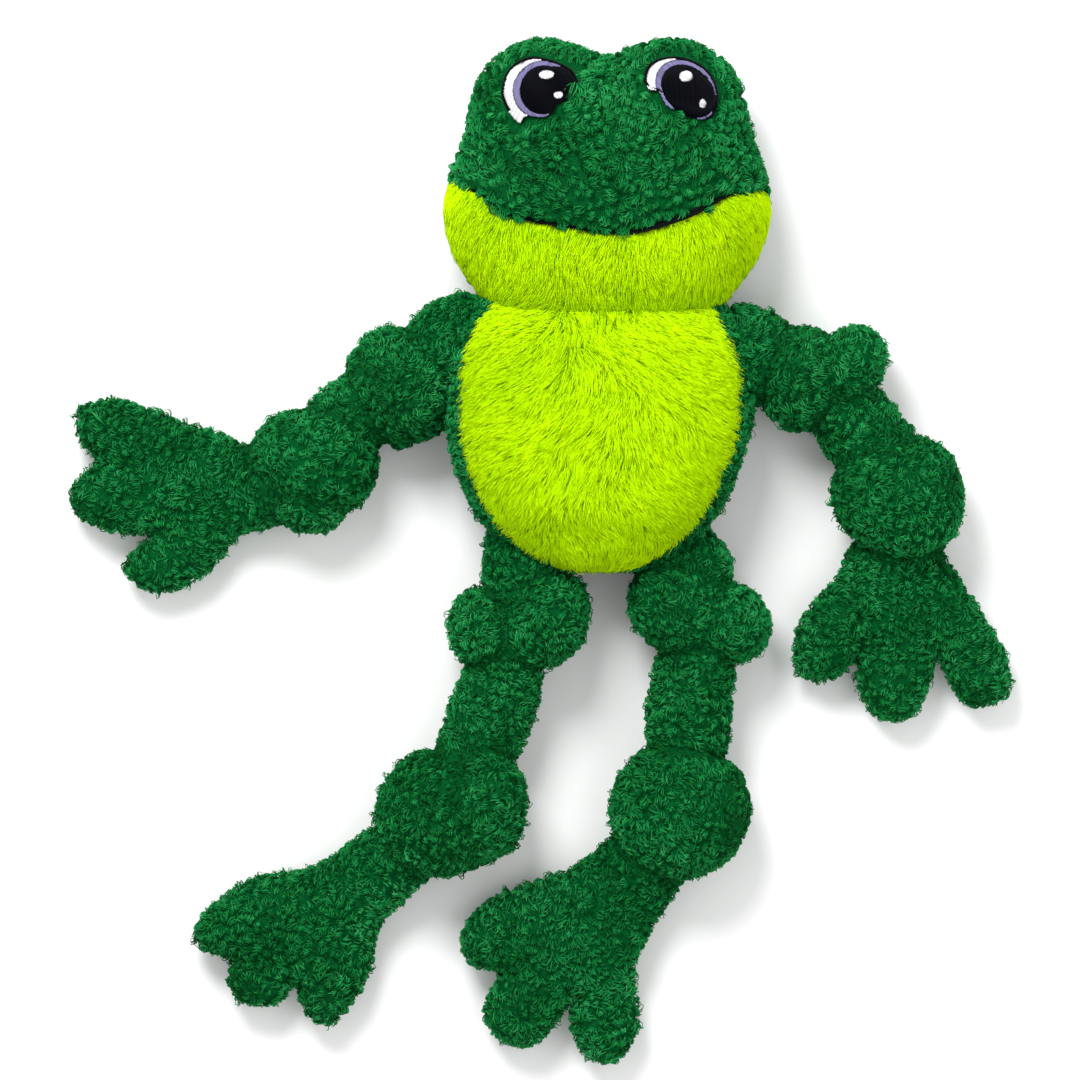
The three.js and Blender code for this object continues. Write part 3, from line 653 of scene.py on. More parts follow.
def head_parts(p, depth):
    """Each point's share of the way to the outline, the front height there and how far off the outline is"""
    y = p[:, 1] - crease_y
    x = p[:, 0] - head_x + CHIN_LEAN * (1 - smoothstep(0, 60, y))
    angle = np.arctan2(y - HEAD_MIDDLE[1], x - HEAD_MIDDLE[0])
    angle = np.where(angle < outline_angles[0], angle + 2 * math.pi, angle)
    reach = np.interp(angle, outline_angles, outline_reach) - depth
    share = np.hypot(x - HEAD_MIDDLE[0], y - HEAD_MIDDLE[1]) / reach
    fade = np.clip(3 * (1 - share), 0, 1)
    lift = 5 * lump(x, y, *SNOUT) - 3 * lump(x, y, *DIP)
    lift = lift + sum(7 * lump(x, y, at, *EYE_BUMP) for at in EYE_CENTRES)
    return share, head_crown - depth + lift * fade, reach


HEAD_ROUNDNESS = 2.5


def head_field(p, depth=HEAD_DEPTH):
    share, front, reach = head_parts(p, depth)
    z = p[:, 2] - seam_z
    high = np.where(z > 0, front, back_depth + 0.5)
    whole = share ** HEAD_ROUNDNESS + (z / high) ** 2
    return np.maximum((np.sqrt(whole) - 1) * np.minimum(reach, high), -p[:, 2])


def face_height(places):
    """The height of the skin at the front of the head over places in plan"""
    share, front, _ = head_parts(places, HEAD_DEPTH)
    return seam_z + front * np.sqrt(np.clip(1 - share ** HEAD_ROUNDNESS, 0, 1))


# Mouth line

# From the middle of the neck crease
MOUTH_POINTS = [
    (-80, 58), (-71, 55), (-56, 46.5), (-46, 38), (-27, 33.5), (-12, 31), (0, 29.5), (10, 29.5), (21, 32),
    (31, 36), (43, 41), (53, 46.5), (66, 49), (80, 49),
]
mouth_line = spline(MOUTH_POINTS, 160)


def above_mouth(p):
    """How far a point lies above the mouth line in plan"""
    return p[:, 1] - crease_y - np.interp(p[:, 0] - head_x, mouth_line[:, 0], mouth_line[:, 1])


def chin_side(p):
    """Above zero where the lime chin is"""
    return np.minimum(-above_mouth(p), p[:, 2] - seam_z + 2)


# Limbs

# Half the thickness of a sleeve and of a paw's edge, the height of a paw's middle, how far the paw lies
# inside its outline, and how much a sleeve narrows towards the paw
SLEEVE = 19.2
PAW_EDGE = 14.0
PAW_MIDDLE = 15.5
PAW_DEPTH = 1.9
WRIST_TAPER = 2.4
# How widely the lobes of one knot run into each other, and a knot into its sleeve
LOBE_BLEND = 6.0
KNOT_BLEND = 2.5
# The same for root and palm
ROOT_BLEND = 4
PAW_BLEND = 5
KNOT_Z = 27.5
# How far the sleeve goes into the torso
ROOT_INSIDE = 24
torso_middle = np.array([torso_x, crease_y - torso_length * 0.45, seam_z])
# How far a limb can be from its middle line, and how high
LIMB_REACH = 36
LIMB_TOP = 66

# What belongs to an arm and to a leg: the joints, the bodies, and the last words of root and underside
ARM = (("shoulder", "elbow", "wrist"), ("upper_arm", "forearm", "hand"), "arm_root", "palm")
LEG = (("hip", "knee", "ankle"), ("thigh", "shin", "foot"), "leg_root", "sole")

# Each limb: the places of its two knots from its first and second pivot, how far its middle line passes from
# the second pivot, the swelling where it leaves the torso, the lobes of its knots, its paw's outline from the
# wrist, and its palm. Lobe, swelling and palm are each a place from the knot, pivot or wrist, a half length,
# half width and half height over the fur, and a turn in degrees.
LIMBS = {
    "left_arm": {
        "knots": [(-25.7, -17.3), (-18.2, -23.2)], "sway": (1, -1), "root": (4, 2.4, 2, 27.5, 22.4, 21, 28),
        "lobes": [
            [(6.1, 2.7, 1, 27.6, 22, 30, -58), (-5.6, -4.6, -1, 24, 11.5, 25, -60)],
            [(6, 5.4, 1, 29.5, 24.5, 30, -15), (0.4, -10.4, -2, 22, 16.5, 24, -25)],
        ],
        "paw": [
            (11, 24), (2, 22), (-14, 27), (-31, 33), (-51, 41), (-64, 42), (-75, 37), (-75, 24), (-67, 14),
            (-75, 6), (-78, -2), (-74, -12), (-59, -18), (-42, -20), (-53, -29), (-53, -37), (-44, -44),
            (-32, -44), (-16, -35), (-3, -20), (9, -8),
        ],
        "palm": (-24, 4, 0, 26, 20, 17, 8),
    },
    "right_arm": {
        "knots": [(29.1, -10.6), (14.3, -25.8)], "sway": (-0.5, -0.5),
        "root": (1, -0.2, 2, 27, 21.6, 21, -32),
        "lobes": [
            [(-7.1, 0.7, 0, 25, 21, 30, 90), (16.1, 5.6, 1, 20.2, 15.5, 24, 66)],
            [(0.4, -3.1, 1, 31, 26.8, 30, -23), (10.4, 8.1, 2, 19, 16, 25, -40)],
        ],
        "paw": [
            (-17, 8), (-28, -11), (-39, -23), (-46, -34), (-48, -45), (-46, -56), (-36, -59), (-25, -55),
            (-18, -45), (-19, -59), (-14, -71), (-5, -77), (7, -73), (12, -61), (17, -48), (24, -61),
            (31, -69), (41, -69), (49, -64), (49, -49), (42, -35), (33, -20), (21, -2), (21, 7),
        ],
        "palm": (-2, -24, 0, 20, 28, 17, 0),
    },
    "left_leg": {
        "knots": [(-6.2, -29.3), (-19.1, -47.3)], "sway": (1.8, 0.5), "root": (0, 2, 0, 22, 20, 21, 90),
        "lobes": [
            [(12.8, 2, 1, 24.5, 20.5, 30, 60), (-12.9, -2.9, 0, 20, 17.5, 25, 100)],
            [(15.9, 4.7, 2, 27, 20.6, 30, 92), (-3.6, -1.2, -1, 29, 30, 30, 0)],
        ],
        "paw": [
            (14, 28), (-3, 16), (-15, 9), (-24, 3), (-34, -1), (-49, -3), (-62, -6), (-76, -15), (-85, -26),
            (-82, -37), (-68, -41), (-70, -50), (-65, -59), (-53, -62), (-44, -59), (-39, -52), (-35, -63),
            (-26, -70), (-17, -65), (-10, -56), (-5, -44), (0, -23), (8, -12), (18, -3), (29, 5),
        ],
        "palm": (-26, -20, 0, 30, 20, 17, 35),
    },
    "right_leg": {
        "knots": [(12.2, -27.4), (-4.4, -49.8)], "sway": (0.8, 0), "root": (6, -3, 0, 23, 20, 21, -40),
        "lobes": [
            [(-8.4, 6, 1, 25, 22.5, 30, -35), (11.8, -1.2, 0, 21.5, 19.5, 25, -20)],
            [(0.4, 3, 1, 32, 32, 30, 90), (16.8, 3.6, -2, 19.6, 15.5, 26, 90)],
        ],
        "paw": [
            (-3, 20), (-9, 9), (-19, 3), (-32, -3), (-50, -8), (-67, -16), (-77, -29), (-76, -40), (-69, -46),
            (-61, -48), (-67, -61), (-66, -72), (-58, -80), (-48, -81), (-39, -75), (-27, -60), (-29, -71),
            (-23, -84), (-12, -90), (-4, -85), (2, -70), (0, -47), (5, -35), (14, -18), (23, -8), (33, 2),
        ],
        "palm": (-25, -26, 0, 32, 22, 17, 38),
    },
}


def plan_distance(p, ring):
    """The distance in plan to a closed ring of points, below zero inside it"""
    nearest = np.full(len(p), 1e6)
    inside = np.zeros(len(p), bool)
    x, y = p[:, 0], p[:, 1]
    for a, b in zip(ring, np.roll(ring, -1, axis=0)):
        d = b - a
        t = np.clip(((x - a[0]) * d[0] + (y - a[1]) * d[1]) / (d @ d), 0, 1)
        nearest = np.minimum(nearest, np.hypot(x - a[0] - t * d[0], y - a[1] - t * d[1]))
        if a[1] != b[1]:
            crosses = (y < a[1]) != (y < b[1])
            inside ^= crosses & (x < a[0] + (y - a[1]) * d[0] / d[1])
    return np.where(inside, -nearest, nearest)


def lobe_field(p, at, lobe):
    x, y, z, long, wide, high, turn = lobe
    q = p - at - [x, y, z]
    half = np.array([long, wide, high]) - SHERPA_DEPTH
    share = np.stack([*turned(q[:, 0], q[:, 1], turn), q[:, 2]], 1) / half
    return (np.linalg.norm(share, axis=1) - 1) * half.min()


class Limb:
    """One limb: a bent sleeve with two knots and a paw"""

    def __init__(self, name, facts):
        self.facts = facts
        self.side = name.split("_")[0]
        self.joints, bodies, self.root_name, self.underside = ARM if "arm" in name else LEG
        self.bodies = [f"{self.side}_{word}" for word in bodies]
        self.pivots = [pivot_of(f"{self.side}_{word}") for word in self.joints]
        places = zip(self.pivots, facts["knots"])
        self.knots = [np.array([pivot[0] + x, pivot[1] + y, KNOT_Z]) for pivot, (x, y) in places]
        root, bend, wrist = self.pivots
        bend = bend + [*facts["sway"], 0]
        inside = root + ROOT_INSIDE * unit(torso_middle - root)
        self.paw = spline(np.array(facts["paw"]) + wrist[:2], 90, closed=True)
        palm = np.array(facts["palm"][:3])
        self.line = spline([inside, root, self.knots[0], bend, self.knots[1], wrist, wrist + 0.6 * palm], 120)
        lengths = np.linalg.norm(np.diff(self.line, axis=0), axis=1)
        self.run = np.concatenate([[0], np.cumsum(lengths)])
        self.knot_runs = [self.run_at(knot) for knot in self.knots]
        self.pivot_runs = [self.run_at(pivot) for pivot in self.pivots]

    def run_at(self, point):
        return self.run[np.argmin(np.linalg.norm(self.line - point, axis=1))]

    def on_line(self, run):
        return np.array([np.interp(run, self.run, self.line[:, k]) for k in range(3)])

    def nearest_run(self, p):
        """The nearest run along the middle line and the distance to it"""
        best = np.full(len(p), np.inf)
        run = np.zeros(len(p))
        for i in range(0, len(self.line) - 3, 3):
            a = self.line[i]
            d = self.line[i + 3] - a
            t = np.clip((p - a) @ d / (d @ d), 0, 1)
            gap = p - a - t[:, None] * d
            distance = np.einsum("ij,ij->i", gap, gap)
            nearer = distance < best
            best = np.where(nearer, distance, best)
            run = np.where(nearer, self.run[i] + t * (self.run[i + 3] - self.run[i]), run)
        return run, np.sqrt(best)

    def paw_field(self, p):
        edge = PAW_EDGE - SHERPA_DEPTH
        z = p[:, 2] - PAW_MIDDLE
        flat = np.maximum(plan_distance(p, self.paw) + PAW_DEPTH + edge, 0)
        pillow = np.hypot(flat, z) - edge
        palm = lobe_field(p, np.append(self.pivots[2][:2], PAW_MIDDLE), self.facts["palm"])
        return smooth_min(pillow, palm, PAW_BLEND)

    def parts(self, p):
        """The fields of the sleeve and of each lobe of its knots"""
        run, distance = self.nearest_run(p)
        root = lobe_field(p, self.pivots[0], self.facts["root"])
        taper = WRIST_TAPER * smoothstep(self.knot_runs[1] + 12, self.pivot_runs[2], run)
        sleeve = distance - (SLEEVE - SHERPA_DEPTH) - 0.5 * np.sin(run / 7) + taper
        fields = [smooth_min(sleeve, root, ROOT_BLEND)]
        for at, lobes in zip(self.knots, self.facts["lobes"]):
            fields += [lobe_field(p, at, lobe) for lobe in lobes]
        return fields

    def field(self, p):
        sleeve, *lobes = self.parts(p)
        value = smooth_min(sleeve, self.paw_field(p), PAW_BLEND)
        for knot in zip(lobes[::2], lobes[1::2]):
            value = smooth_min(value, smooth_min(*knot, LOBE_BLEND), KNOT_BLEND)
        lumps = 0.8 * noise(p, 15, 43) + 0.8 * noise(p, 7, 44)
        return np.maximum(value + lumps, -p[:, 2])

    def folds(self, p):
        """Up to 1 in the folds between the sleeve and its knots, and less between the lobes of a knot. Locks
        there are smaller and sunk, and darker as painted shade.
        """
        sleeve, a, b, c, d = self.parts(p)
        first, second = np.minimum(a, b), np.minimum(c, d)
        nearer = np.minimum(first, second)
        round_knots = np.exp(-((sleeve - nearer) / 3) ** 2)
        own = np.where(first < second, np.abs(a - b), np.abs(c - d))
        across = 0.6 * np.exp(-(own / 2.5) ** 2) * (nearer < sleeve)
        return np.maximum(round_knots, across)

    def box(self, low_run, high_run):
        """A box round the stretch between two runs"""
        near = self.line[(self.run > low_run - 3) & (self.run < high_run + 3)]
        low, high = near.min(0) - LIMB_REACH, near.max(0) + LIMB_REACH
        if high_run > self.run[-1]:
            low[:2] = np.minimum(low[:2], self.paw.min(0))
            high[:2] = np.maximum(high[:2], self.paw.max(0))
        low[2] = 0
        high[2] = min(high[2], LIMB_TOP)
        return low, high


limbs = {name: Limb(name, facts) for name, facts in LIMBS.items()}

# Pieces

STEP = 2.2
MOST_TRIANGLES = 195000
OVERLAP = 0.8
rng = np.random.default_rng(11)


def fur_pieces(name, paths, widths, normals, tones, made_of):
    """The strands as one or more pieces, split along their longest side"""
    most = MOST_TRIANGLES // (6 * (paths.shape[1] - 2) + 4)
    groups = [np.arange(len(paths))]
    while max(len(g) for g in groups) > most:
        g = max(groups, key=len)
        groups = [h for h in groups if h is not g]
        roots = paths[g, 0]
        axis = np.argmax(np.ptp(roots, axis=0))
        order = g[np.argsort(roots[:, axis], kind="stable")]
        groups += [order[: len(order) // 2], order[len(order) // 2:]]
    pieces = []
    for i, g in enumerate(groups):
        strands = strand_mesh(lifted(paths[g]), widths[g], normals[g], tones[g])
        label = name if len(groups) == 1 else f"{name}_{i + 1}"
        pieces.append(mesh_object(label, made_of, *strands))
    return pieces


def swirl(p):
    """The way the sherpa lies: it turns slowly from place to place"""
    broad = np.stack([noise(p, 34, s) for s in (1, 2, 3)], 1)
    close = np.stack([noise(p, 9, s) for s in (11, 12, 13)], 1)
    return unit(1.1 * broad + 0.8 * close + [0, -0.3, 0])


# A kind of fur, its material, that of the skin under it, and its slot
green = (SHERPA, sherpa, sherpa_backing, "green_sherpa")
green_face = (FACE_SHERPA, *green[1:])
yellow = (LIME, lime, lime_backing, "lime_plush")

# How deep in its own shape and in the others no fur grows, and the share left out on the underside
OWN_DEPTH = 1.0
OTHERS_DEPTH = 1.5
UNDER_SHARE = 0.6


def dressed(name, field, whole, box, cloth, hook, stands_for, comb=swirl, others=(), bare=None, folds=None):
    """A skin and its fur. whole is the shape that field is a cut of, others hide fur, bare keeps it off, and
    folds changes it there."""
    kind, fibre, backing, slot = cloth
    points, quads = skin_of(field, *box, STEP)
    pieces = []
    places, normals = scatter(points, quads, kind["spacing"], rng)
    above = places + normals * 2
    left_out = [other(above) < -OTHERS_DEPTH for other in others] + [whole(places) < -OWN_DEPTH]
    if bare is not None:
        left_out.append(bare(places))
    left_out.append((normals[:, 2] < -0.5) & (rng.random(len(places)) < UNDER_SHARE))
    places = places[~np.any(left_out, axis=0)]
    normals = slope_of(whole, places)
    flow = comb(places) * kind["combed"] + kind["stray"] * rng.normal(size=places.shape)
    lean = tangent_to(normals, flow)
    deep = np.zeros(len(places)) if folds is None else folds(places)
    strands = kind["grow"](places, normals, lean, deep, kind, rng)
    pieces = fur_pieces(f"{name}_fur", *strands, fibre)
    if kind["bump"]:
        points, quads = halved(points, quads)
        rise = bumps(points, places, lean, deep, kind)
        points = points + rise[:, None] * point_normals(points, triangles_of(quads))
    base = mesh_object(f"{name}_skin", backing, lifted(points), [quads])
    pieces.append(base)
    for piece in pieces:
        hook(piece)
    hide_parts(*stands_for)


def hook_between():
    return lambda piece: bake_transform(piece)


# The torso, the belly and the head

neck_hook = hook_between()


def torso_hook(piece):
    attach(piece, "torso")


torso_box = (torso_low[0], torso_low[1], 0), (torso_high[0], crease_y + 26, belly_high[2])
head_box = (head_low[0], crease_y - 20, 0), (head_high[0], head_high[1], seam_z + head_crown + 8)

# How far the cloth ends from the seam between two panels
SEAM_GAP = 0.2


def panel(whole, side, sign):
    """What of a shape lies on one side of a seam"""
    return lambda p: np.maximum(whole(p), sign * side(p) + SEAM_GAP)


def rim(side, width):
    """Up to 1 at a seam, and less from there inwards"""
    return lambda p: np.exp(-np.maximum(side(p), 0) / width)


def belly_whole(p):
    return torso_field(p, LIME_DEPTH)


def belly_comb(p):
    x = (p[:, 0] - torso_x) / torso_half_width
    down = np.clip((crease_y - p[:, 1]) / torso_length, 0, 1)
    wave = 0.6 * noise(p, 32, 21) + 0.55 * noise(p, 13, 23)
    dip = 0.35 * noise(p, 18, 25)
    return unit(np.stack([1.5 * x + wave, dip - 0.3 - 0.6 * down, -0.3 * np.abs(x)], 1))


def chin_whole(p):
    return head_field(p, LIME_DEPTH)


def chin_comb(p):
    x = (p[:, 0] - head_x) / head_half_width
    wave = 0.4 * noise(p, 26, 22) + 0.5 * noise(p, 12, 24)
    return unit(np.stack([0.9 * x + wave, -np.ones(len(p)), -0.4 * np.abs(x)], 1))


def face_comb(p):
    """The face's locks lie downwards, most of all over the mouth"""
    near = rim(above_mouth, 12)(p)
    return unit(swirl(p) + np.stack([np.zeros(len(p)), -0.3 - 0.9 * near, np.zeros(len(p))], 1))


# Mouth


def sheet_over(name, rings, lift, thickness, made_of):
    """A closed pad over the face: rings of plan points from the rim inwards, lifted off the skin"""
    top = np.vstack([np.column_stack([ring, face_height(ring) + lift]) for ring in rings])
    low = top - [0, 0, thickness]
    count, around = len(top), len(rings[0])
    here = np.arange(around)
    after = (here + 1) % around
    quads = []
    last = count - around
    for first in range(0, last, around):
        a, b = first + here, first + after
        quads.append(np.column_stack([a, b, b + around, a + around]))
        quads.append(np.column_stack([b, a, a + around, b + around]) + count)
    quads.append(np.column_stack([after, here, here + count, after + count]))
    middle = np.full(around, 2 * count)
    tips = [np.column_stack([last + here, last + after, middle]),
            np.column_stack([count + last + after, count + last + here, middle + 1])]
    points = np.vstack([top, low, top[-around:].mean(0), low[-around:].mean(0)])
    return mesh_object(name, made_of, points, [np.vstack(quads), np.vstack(tips)])


# How far the mouth goes to the right
MOUTH_END = 60
mouth_x = np.linspace(-62, MOUTH_END, 60)
mouth_y = np.interp(mouth_x, mouth_line[:, 0], mouth_line[:, 1])
# The lips part most to the right of the middle
mouth_gape = 0.2 + 1.4 * np.exp(-((mouth_x - 34) / 12) ** 2)
mouth_gape = mouth_gape * np.clip((MOUTH_END - np.abs(mouth_x)) / 12, 0.1, 1)
mouth_middle = np.column_stack([mouth_x + head_x, mouth_y + crease_y])
mouth_rings = []
for share in (1.0, 0.6, 0.2):
    reach = np.column_stack([0 * mouth_gape, mouth_gape * share])
    mouth_rings.append(np.vstack([mouth_middle - reach, (mouth_middle + reach)[::-1]]))
lining_material = woven_material("mouth_cloth", srgb(10, 16, 14), srgb(20, 26, 24), 0.9)
lining = sheet_over("mouth_lining_fold", mouth_rings, 2.4, 4.0, lining_material)
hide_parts("mouth_lining")
neck_hook(lining)

# Eyes

# How wide a thread is, how far out rows of it are tried and how many points each has
THREAD = 0.55
EYE_REACH = 20
THREAD_POINTS = 9
EYE_LIFT = 2.6
# How far the locks stay off the eyes
EYE_CLEAR = 0.9

# Each eye: its middle on the face, the outline of what shows of it, from the middle, its iris, pupil and
# highlights as ellipses, the line a x + b y > c beyond which it has its dark edge, and its threads' turn
EYES = {
    "left": {
        "middle": (-30.5, 93.1),
        "outline": [
            (-17.2, 0), (-15, 8.6), (-10, 14), (-3.1, 16), (4.4, 14.3), (10.7, 11.6), (14.8, 8.6),
            (16.6, 3.5), (15.6, 0.8), (11.8, -2.2), (11.9, -5.6), (7.4, -6.6), (6, -10), (1.8, -12.7),
            (-5, -12), (-7.4, -12.7), (-8.4, -14.8), (-10.2, -14.2), (-13.5, -10.2), (-16, -5.4),
        ],
        "iris": [(1.4, 0.2, 13.2, 13.5, 0), (6.5, 1.9, 10.2, 10.3, 0)],
        "pupil": [(1.6, 0, 10.4, 11.3, 0), (6.5, 1.8, 9.8, 9, 0)],
        "lights": [(2.8, 6.9, 3.3, 2.4, 0), (8, -2.7, 2.0, 1.8, 0)],
        "edged": (0, 1, -9), "threads": 62,
    },
    "right": {
        "middle": (32.4, 93.5),
        "outline": [
            (-16.9, 6.2), (-14.8, 11.2), (-9.6, 14.6), (-2.4, 15.5), (4.9, 13.9), (10.8, 10.5), (14.7, 4.9),
            (16.4, -1.6), (15.6, -7.5), (12.4, -13.3), (4.8, -13.2), (0.4, -12), (-2, -9.8), (-5, -9.4),
            (-8.2, -6.3), (-10.8, -1.4), (-14.3, -0.8), (-16.4, 2.2),
        ],
        "iris": [(2.1, -0.2, 15.3, 12.4, -46)],
        "pupil": [(2.9, -0.8, 13.5, 10.7, -46)],
        "lights": [(1.6, 5.9, 3.3, 2.6, 0), (9, -6.4, 1.7, 2.0, 0)],
        "edged": (0.55, 1, -7), "threads": 118,
    },
}


def in_ellipse(p, x, y, long, wide, turn):
    u, v = turned(p[:, 0] - x, p[:, 1] - y, turn)
    return (u / long) ** 2 + (v / wide) ** 2 < 1


def in_any(p, ellipses):
    return np.any([in_ellipse(p, *ellipse) for ellipse in ellipses], axis=0)


def stitched(name, region, middle, turn, lift, made_of):
    """Satin stitch over a region of the face: rows of thread, each as one strand with blunt ends"""
    along = np.array([math.cos(math.radians(turn)), math.sin(math.radians(turn))])
    across = np.array([-along[1], along[0]])
    run = np.arange(-EYE_REACH, EYE_REACH, 0.25)
    plans, tones = [], []
    for i, row in enumerate(np.arange(-EYE_REACH, EYE_REACH, THREAD)):
        inside = region(row * across + run[:, None] * along)
        edges = np.flatnonzero(np.diff(np.concatenate([[0], inside.astype(int), [0]])))
        for first, last in zip(edges[::2], edges[1::2]):
            if last - first < 3:
                continue
            stretch = np.linspace(run[first], run[last - 1], THREAD_POINTS)
            plans.append(row * across + stretch[:, None] * along + middle)
            tones.append(0.5 + 0.5 * math.sin(7.3 * i + first))
    places = np.array(plans) + [head_x, crease_y]
    height = face_height(places.reshape(-1, 2)).reshape(places.shape[:2])
    arch = np.sin(np.linspace(0.25, math.pi - 0.25, THREAD_POINTS)) ** 0.5
    paths = np.dstack([places, height + EYE_LIFT + lift * arch])
    widths = np.full(paths.shape[:2], THREAD * 1.5)
    normals = np.tile([0, 0, 1.0], (len(paths), 1))
    return mesh_object(name, made_of, *strand_mesh(paths, widths, normals, np.array(tones)))


COLOURS = {"edge": (6, 7, 10), "white": (246, 246, 250), "iris": (138, 134, 178), "pupil": (5, 6, 14)}
threads = {name: thread_material(f"thread_{name}", srgb(*colour)) for name, colour in COLOURS.items()}
threads["light"] = threads["white"]
eye_backing = woven_material("eye_backing", srgb(12, 14, 18), srgb(22, 24, 30), 0.9)


def eye_regions(p, facts, ring):
    """Where the dark edge, the white, the iris, the pupil and the highlights of an eye are"""
    a, b, c = facts["edged"]
    off = plan_distance(p, ring)
    inner = off < np.where(p @ (a, b) > c, -1.2, -0.1)
    iris, pupil, light = (in_any(p, facts[word]) for word in ("iris", "pupil", "lights"))
    seen_pupil = (off < -0.2) & pupil
    return {"edge": (off < 0) & ~inner & ~seen_pupil, "white": inner & ~(iris | pupil),
            "iris": inner & iris & ~pupil, "pupil": seen_pupil, "light": light}


# What is stitched, from below: how far its threads are turned from the eye's own, and how high they arch
STITCHES = {
    "edge": (0, 0.25), "white": (0, 0.35), "iris": (14, 0.4), "pupil": (-30, 0.55), "light": (40, 1.0),
}


def make_eye(side, facts):
    """An eye's pad and threads. Gives back the outline."""
    middle = np.array(facts["middle"])
    ring = spline(facts["outline"], 72, closed=True)
    rings = [ring * share + middle + [head_x, crease_y] for share in (1.0, 0.96, 0.8, 0.55, 0.25)]
    pad = sheet_over(f"{side}_eye_pad", rings, EYE_LIFT - 0.1, 3.0, eye_backing)
    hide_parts(f"{side}_eye_patch")
    pieces = [pad]
    for word, (turn, lift) in STITCHES.items():
        name = f"{side}_eye_{word}"

        def inside(p):
            return eye_regions(p, facts, ring)[word]

        pieces.append(stitched(name, inside, middle, facts["threads"] + turn, lift, threads[word]))
    for piece in pieces:
        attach(piece, "head")
    return ring + middle


eye_rings = [make_eye(side, facts) for side, facts in EYES.items()]

# The middle of a small gap in the locks over the mouth, and how far it reaches
NOSTRIL = (11.9, 53.7)
NOSTRIL_REACH = 2.6


def bare_face(p):
    """Where the face has no locks: under the eyes' embroidery, at the parted lips and in the small gap"""
    flat = p[:, :2] - [head_x, crease_y]
    x, y = flat.T
    eyes = np.min([plan_distance(flat, ring) for ring in eye_rings], axis=0) < EYE_CLEAR
    lips = (np.abs(above_mouth(p)) < np.interp(x, mouth_x, mouth_gape) - 0.5) & (np.abs(x) < MOUTH_END)
    nostril = np.hypot(x - NOSTRIL[0], y - NOSTRIL[1]) < NOSTRIL_REACH
    return (p[:, 2] > seam_z + 10) & (eyes | lips | nostril)


dressed("torso_back", panel(torso_field, belly_rise, 1), torso_field, torso_box, green, torso_hook,
        ["torso_back_panel", "torso_stuffing"], others=[*(limb.field for limb in limbs.values()), head_field])
# The lime pile is lighter near its seams, as painted light
dressed("belly", panel(belly_whole, belly_rise, -1), belly_whole, torso_box, yellow, torso_hook,
        ["belly_panel"], belly_comb, [head_field], folds=rim(belly_rise, 6))
dressed("head", panel(head_field, chin_side, 1), head_field, head_box, green_face, neck_hook,
        ["face_panel", "head_back_panel", "head_stuffing"], face_comb, [torso_field], bare_face)
dressed("chin", panel(chin_whole, chin_side, -1), chin_whole, head_box, yellow, neck_hook,
        ["chin_panel"], chin_comb, [torso_field], bare_face,
        rim(chin_side, 3))

# The limbs


def dress_limb(limb):
    ends = [-1e3, *limb.knot_runs, 1e3]
    upper, lower, paw = limb.bodies
    stands_for = [
        [f"{limb.side}_{limb.root_name}", f"{upper}_sleeve", f"{upper}_knot"],
        [f"{lower}_sleeve", f"{lower}_knot"],
        [f"{paw}_{part}" for part in ("top", limb.underside, "stuffing")],
    ]
    for i, word in enumerate(limb.joints):
        low_run, high_run = ends[i], ends[i + 1]

        def cut(p):
            run, _ = limb.nearest_run(p)
            return np.maximum(limb.field(p), np.maximum(low_run - OVERLAP - run, run - high_run - OVERLAP))

        run = limb.pivot_runs[i]
        direction = unit(limb.on_line(run + 8) - limb.on_line(run - 8))
        hook = hook_between()
        box = limb.box(low_run, high_run)
        dressed(f"{limb.side}_{word}", cut, limb.field, box, green, hook, stands_for[i],
                others=[torso_field] if i == 0 else [], folds=limb.folds)


for limb in limbs.values():
    dress_limb(limb)

# The rope and the squeaker inside keep their solids

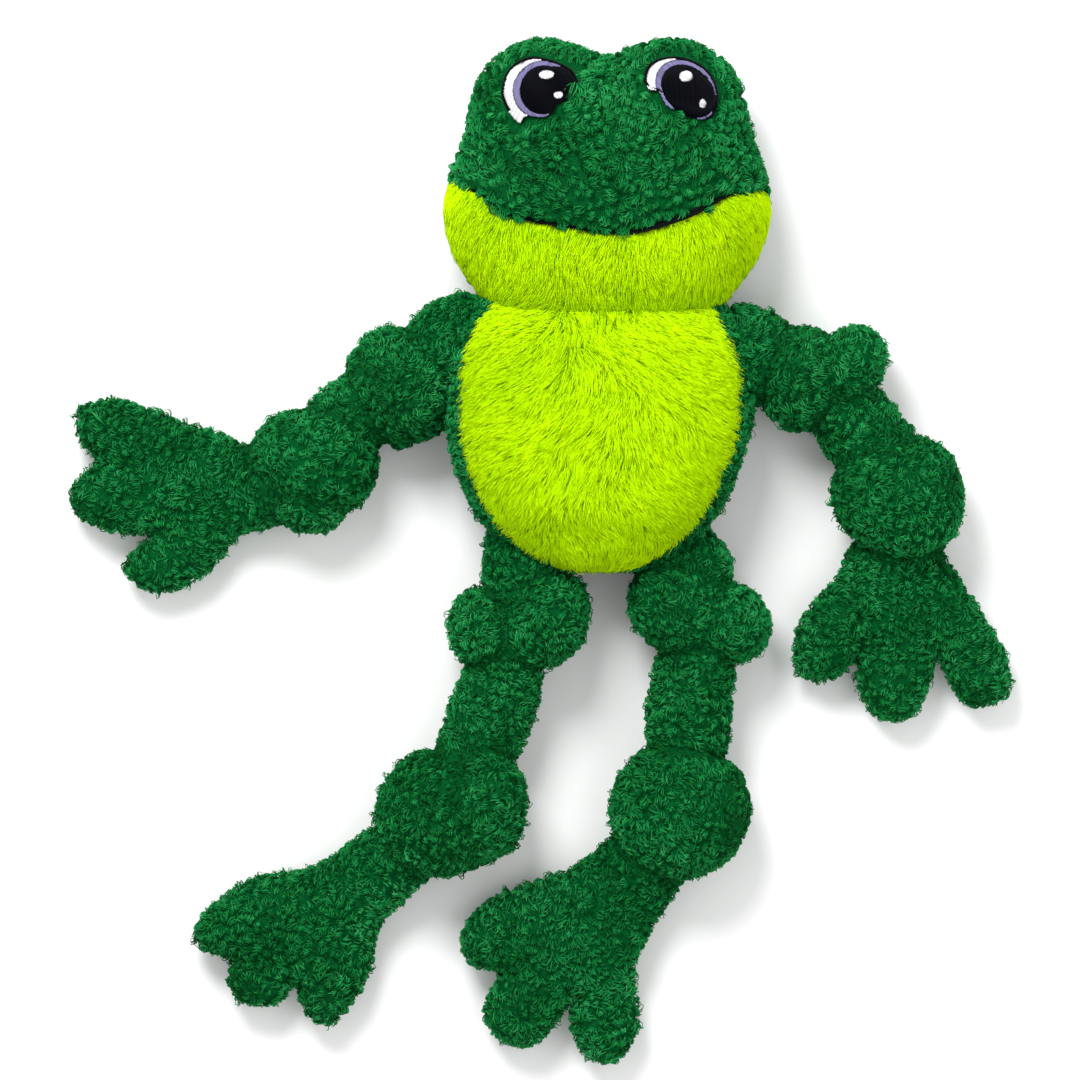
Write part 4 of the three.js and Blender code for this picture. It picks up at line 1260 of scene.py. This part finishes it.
rope = woven_material("cotton_rope", srgb(196, 188, 170), srgb(236, 230, 216), 0.85, 120)
shell = backing_material("squeaker_shell", srgb(222, 222, 218), srgb(238, 238, 234), 300, 0.15)
reed = backing_material("squeaker_reed", srgb(150, 152, 156), srgb(176, 178, 182), 500, 0.1)
for name, made in (("arm_rope_chest_span", rope), ("leg_rope_hip_span", rope), ("squeaker_bellows", shell),
                   ("squeaker_reed", reed)):
    for place in frame["nodes"][name].material_slots:
        place.material = made

# Floor, lights and camera

bpy.ops.mesh.primitive_plane_add(size=8)
floor = bpy.context.object
floor.name = "floor"
floor.data.materials.append(backing_material("floor", (0.93, 0.93, 0.93, 1), (0.95, 0.95, 0.95, 1), 6, 0.05))

world = bpy.data.worlds.new("studio")
bpy.context.scene.world = world
world.use_nodes = True
background = world.node_tree.nodes["Background"]
background.inputs["Color"].default_value = (1, 1, 1, 1)
background.inputs["Strength"].default_value = 0.8


def area_light(name, at, size, power):
    """A round light that shines on the toy's place"""
    lamp = bpy.data.lights.new(name, "AREA")
    lamp.shape = "DISK"
    lamp.size = size
    lamp.energy = power
    obj = bpy.data.objects.new(name, lamp)
    bpy.context.scene.collection.objects.link(obj)
    obj.location = at
    obj.rotation_euler = (-Vector(at)).to_track_quat("-Z", "Y").to_euler()


area_light("key", (-0.4, 0.9, 1.3), 0.7, 22)
area_light("fill", (0.8, -0.2, 1.3), 1.2, 5)
bpy.context.scene.view_settings.view_transform = "Standard"

PHOTO_SIZE = 1080
MM_PER_PIXEL = 0.45
CREASE_PIXEL = (600, 304)
SENSOR = 36
camera_distance = 3.0
view_height = 0.03
centre_x = torso_x + (PHOTO_SIZE / 2 - CREASE_PIXEL[0]) * MM_PER_PIXEL
centre_y = crease_y + (CREASE_PIXEL[1] - PHOTO_SIZE / 2) * MM_PER_PIXEL
camera_data = bpy.data.cameras.new("camera")
camera_data.sensor_width = SENSOR
camera_data.lens = SENSOR * (camera_distance - view_height) / (PHOTO_SIZE * MM_PER_PIXEL * MM)
camera = bpy.data.objects.new("camera", camera_data)
bpy.context.scene.collection.objects.link(camera)
camera.location = (centre_x * MM, centre_y * MM, camera_distance)
bpy.context.scene.camera = camera
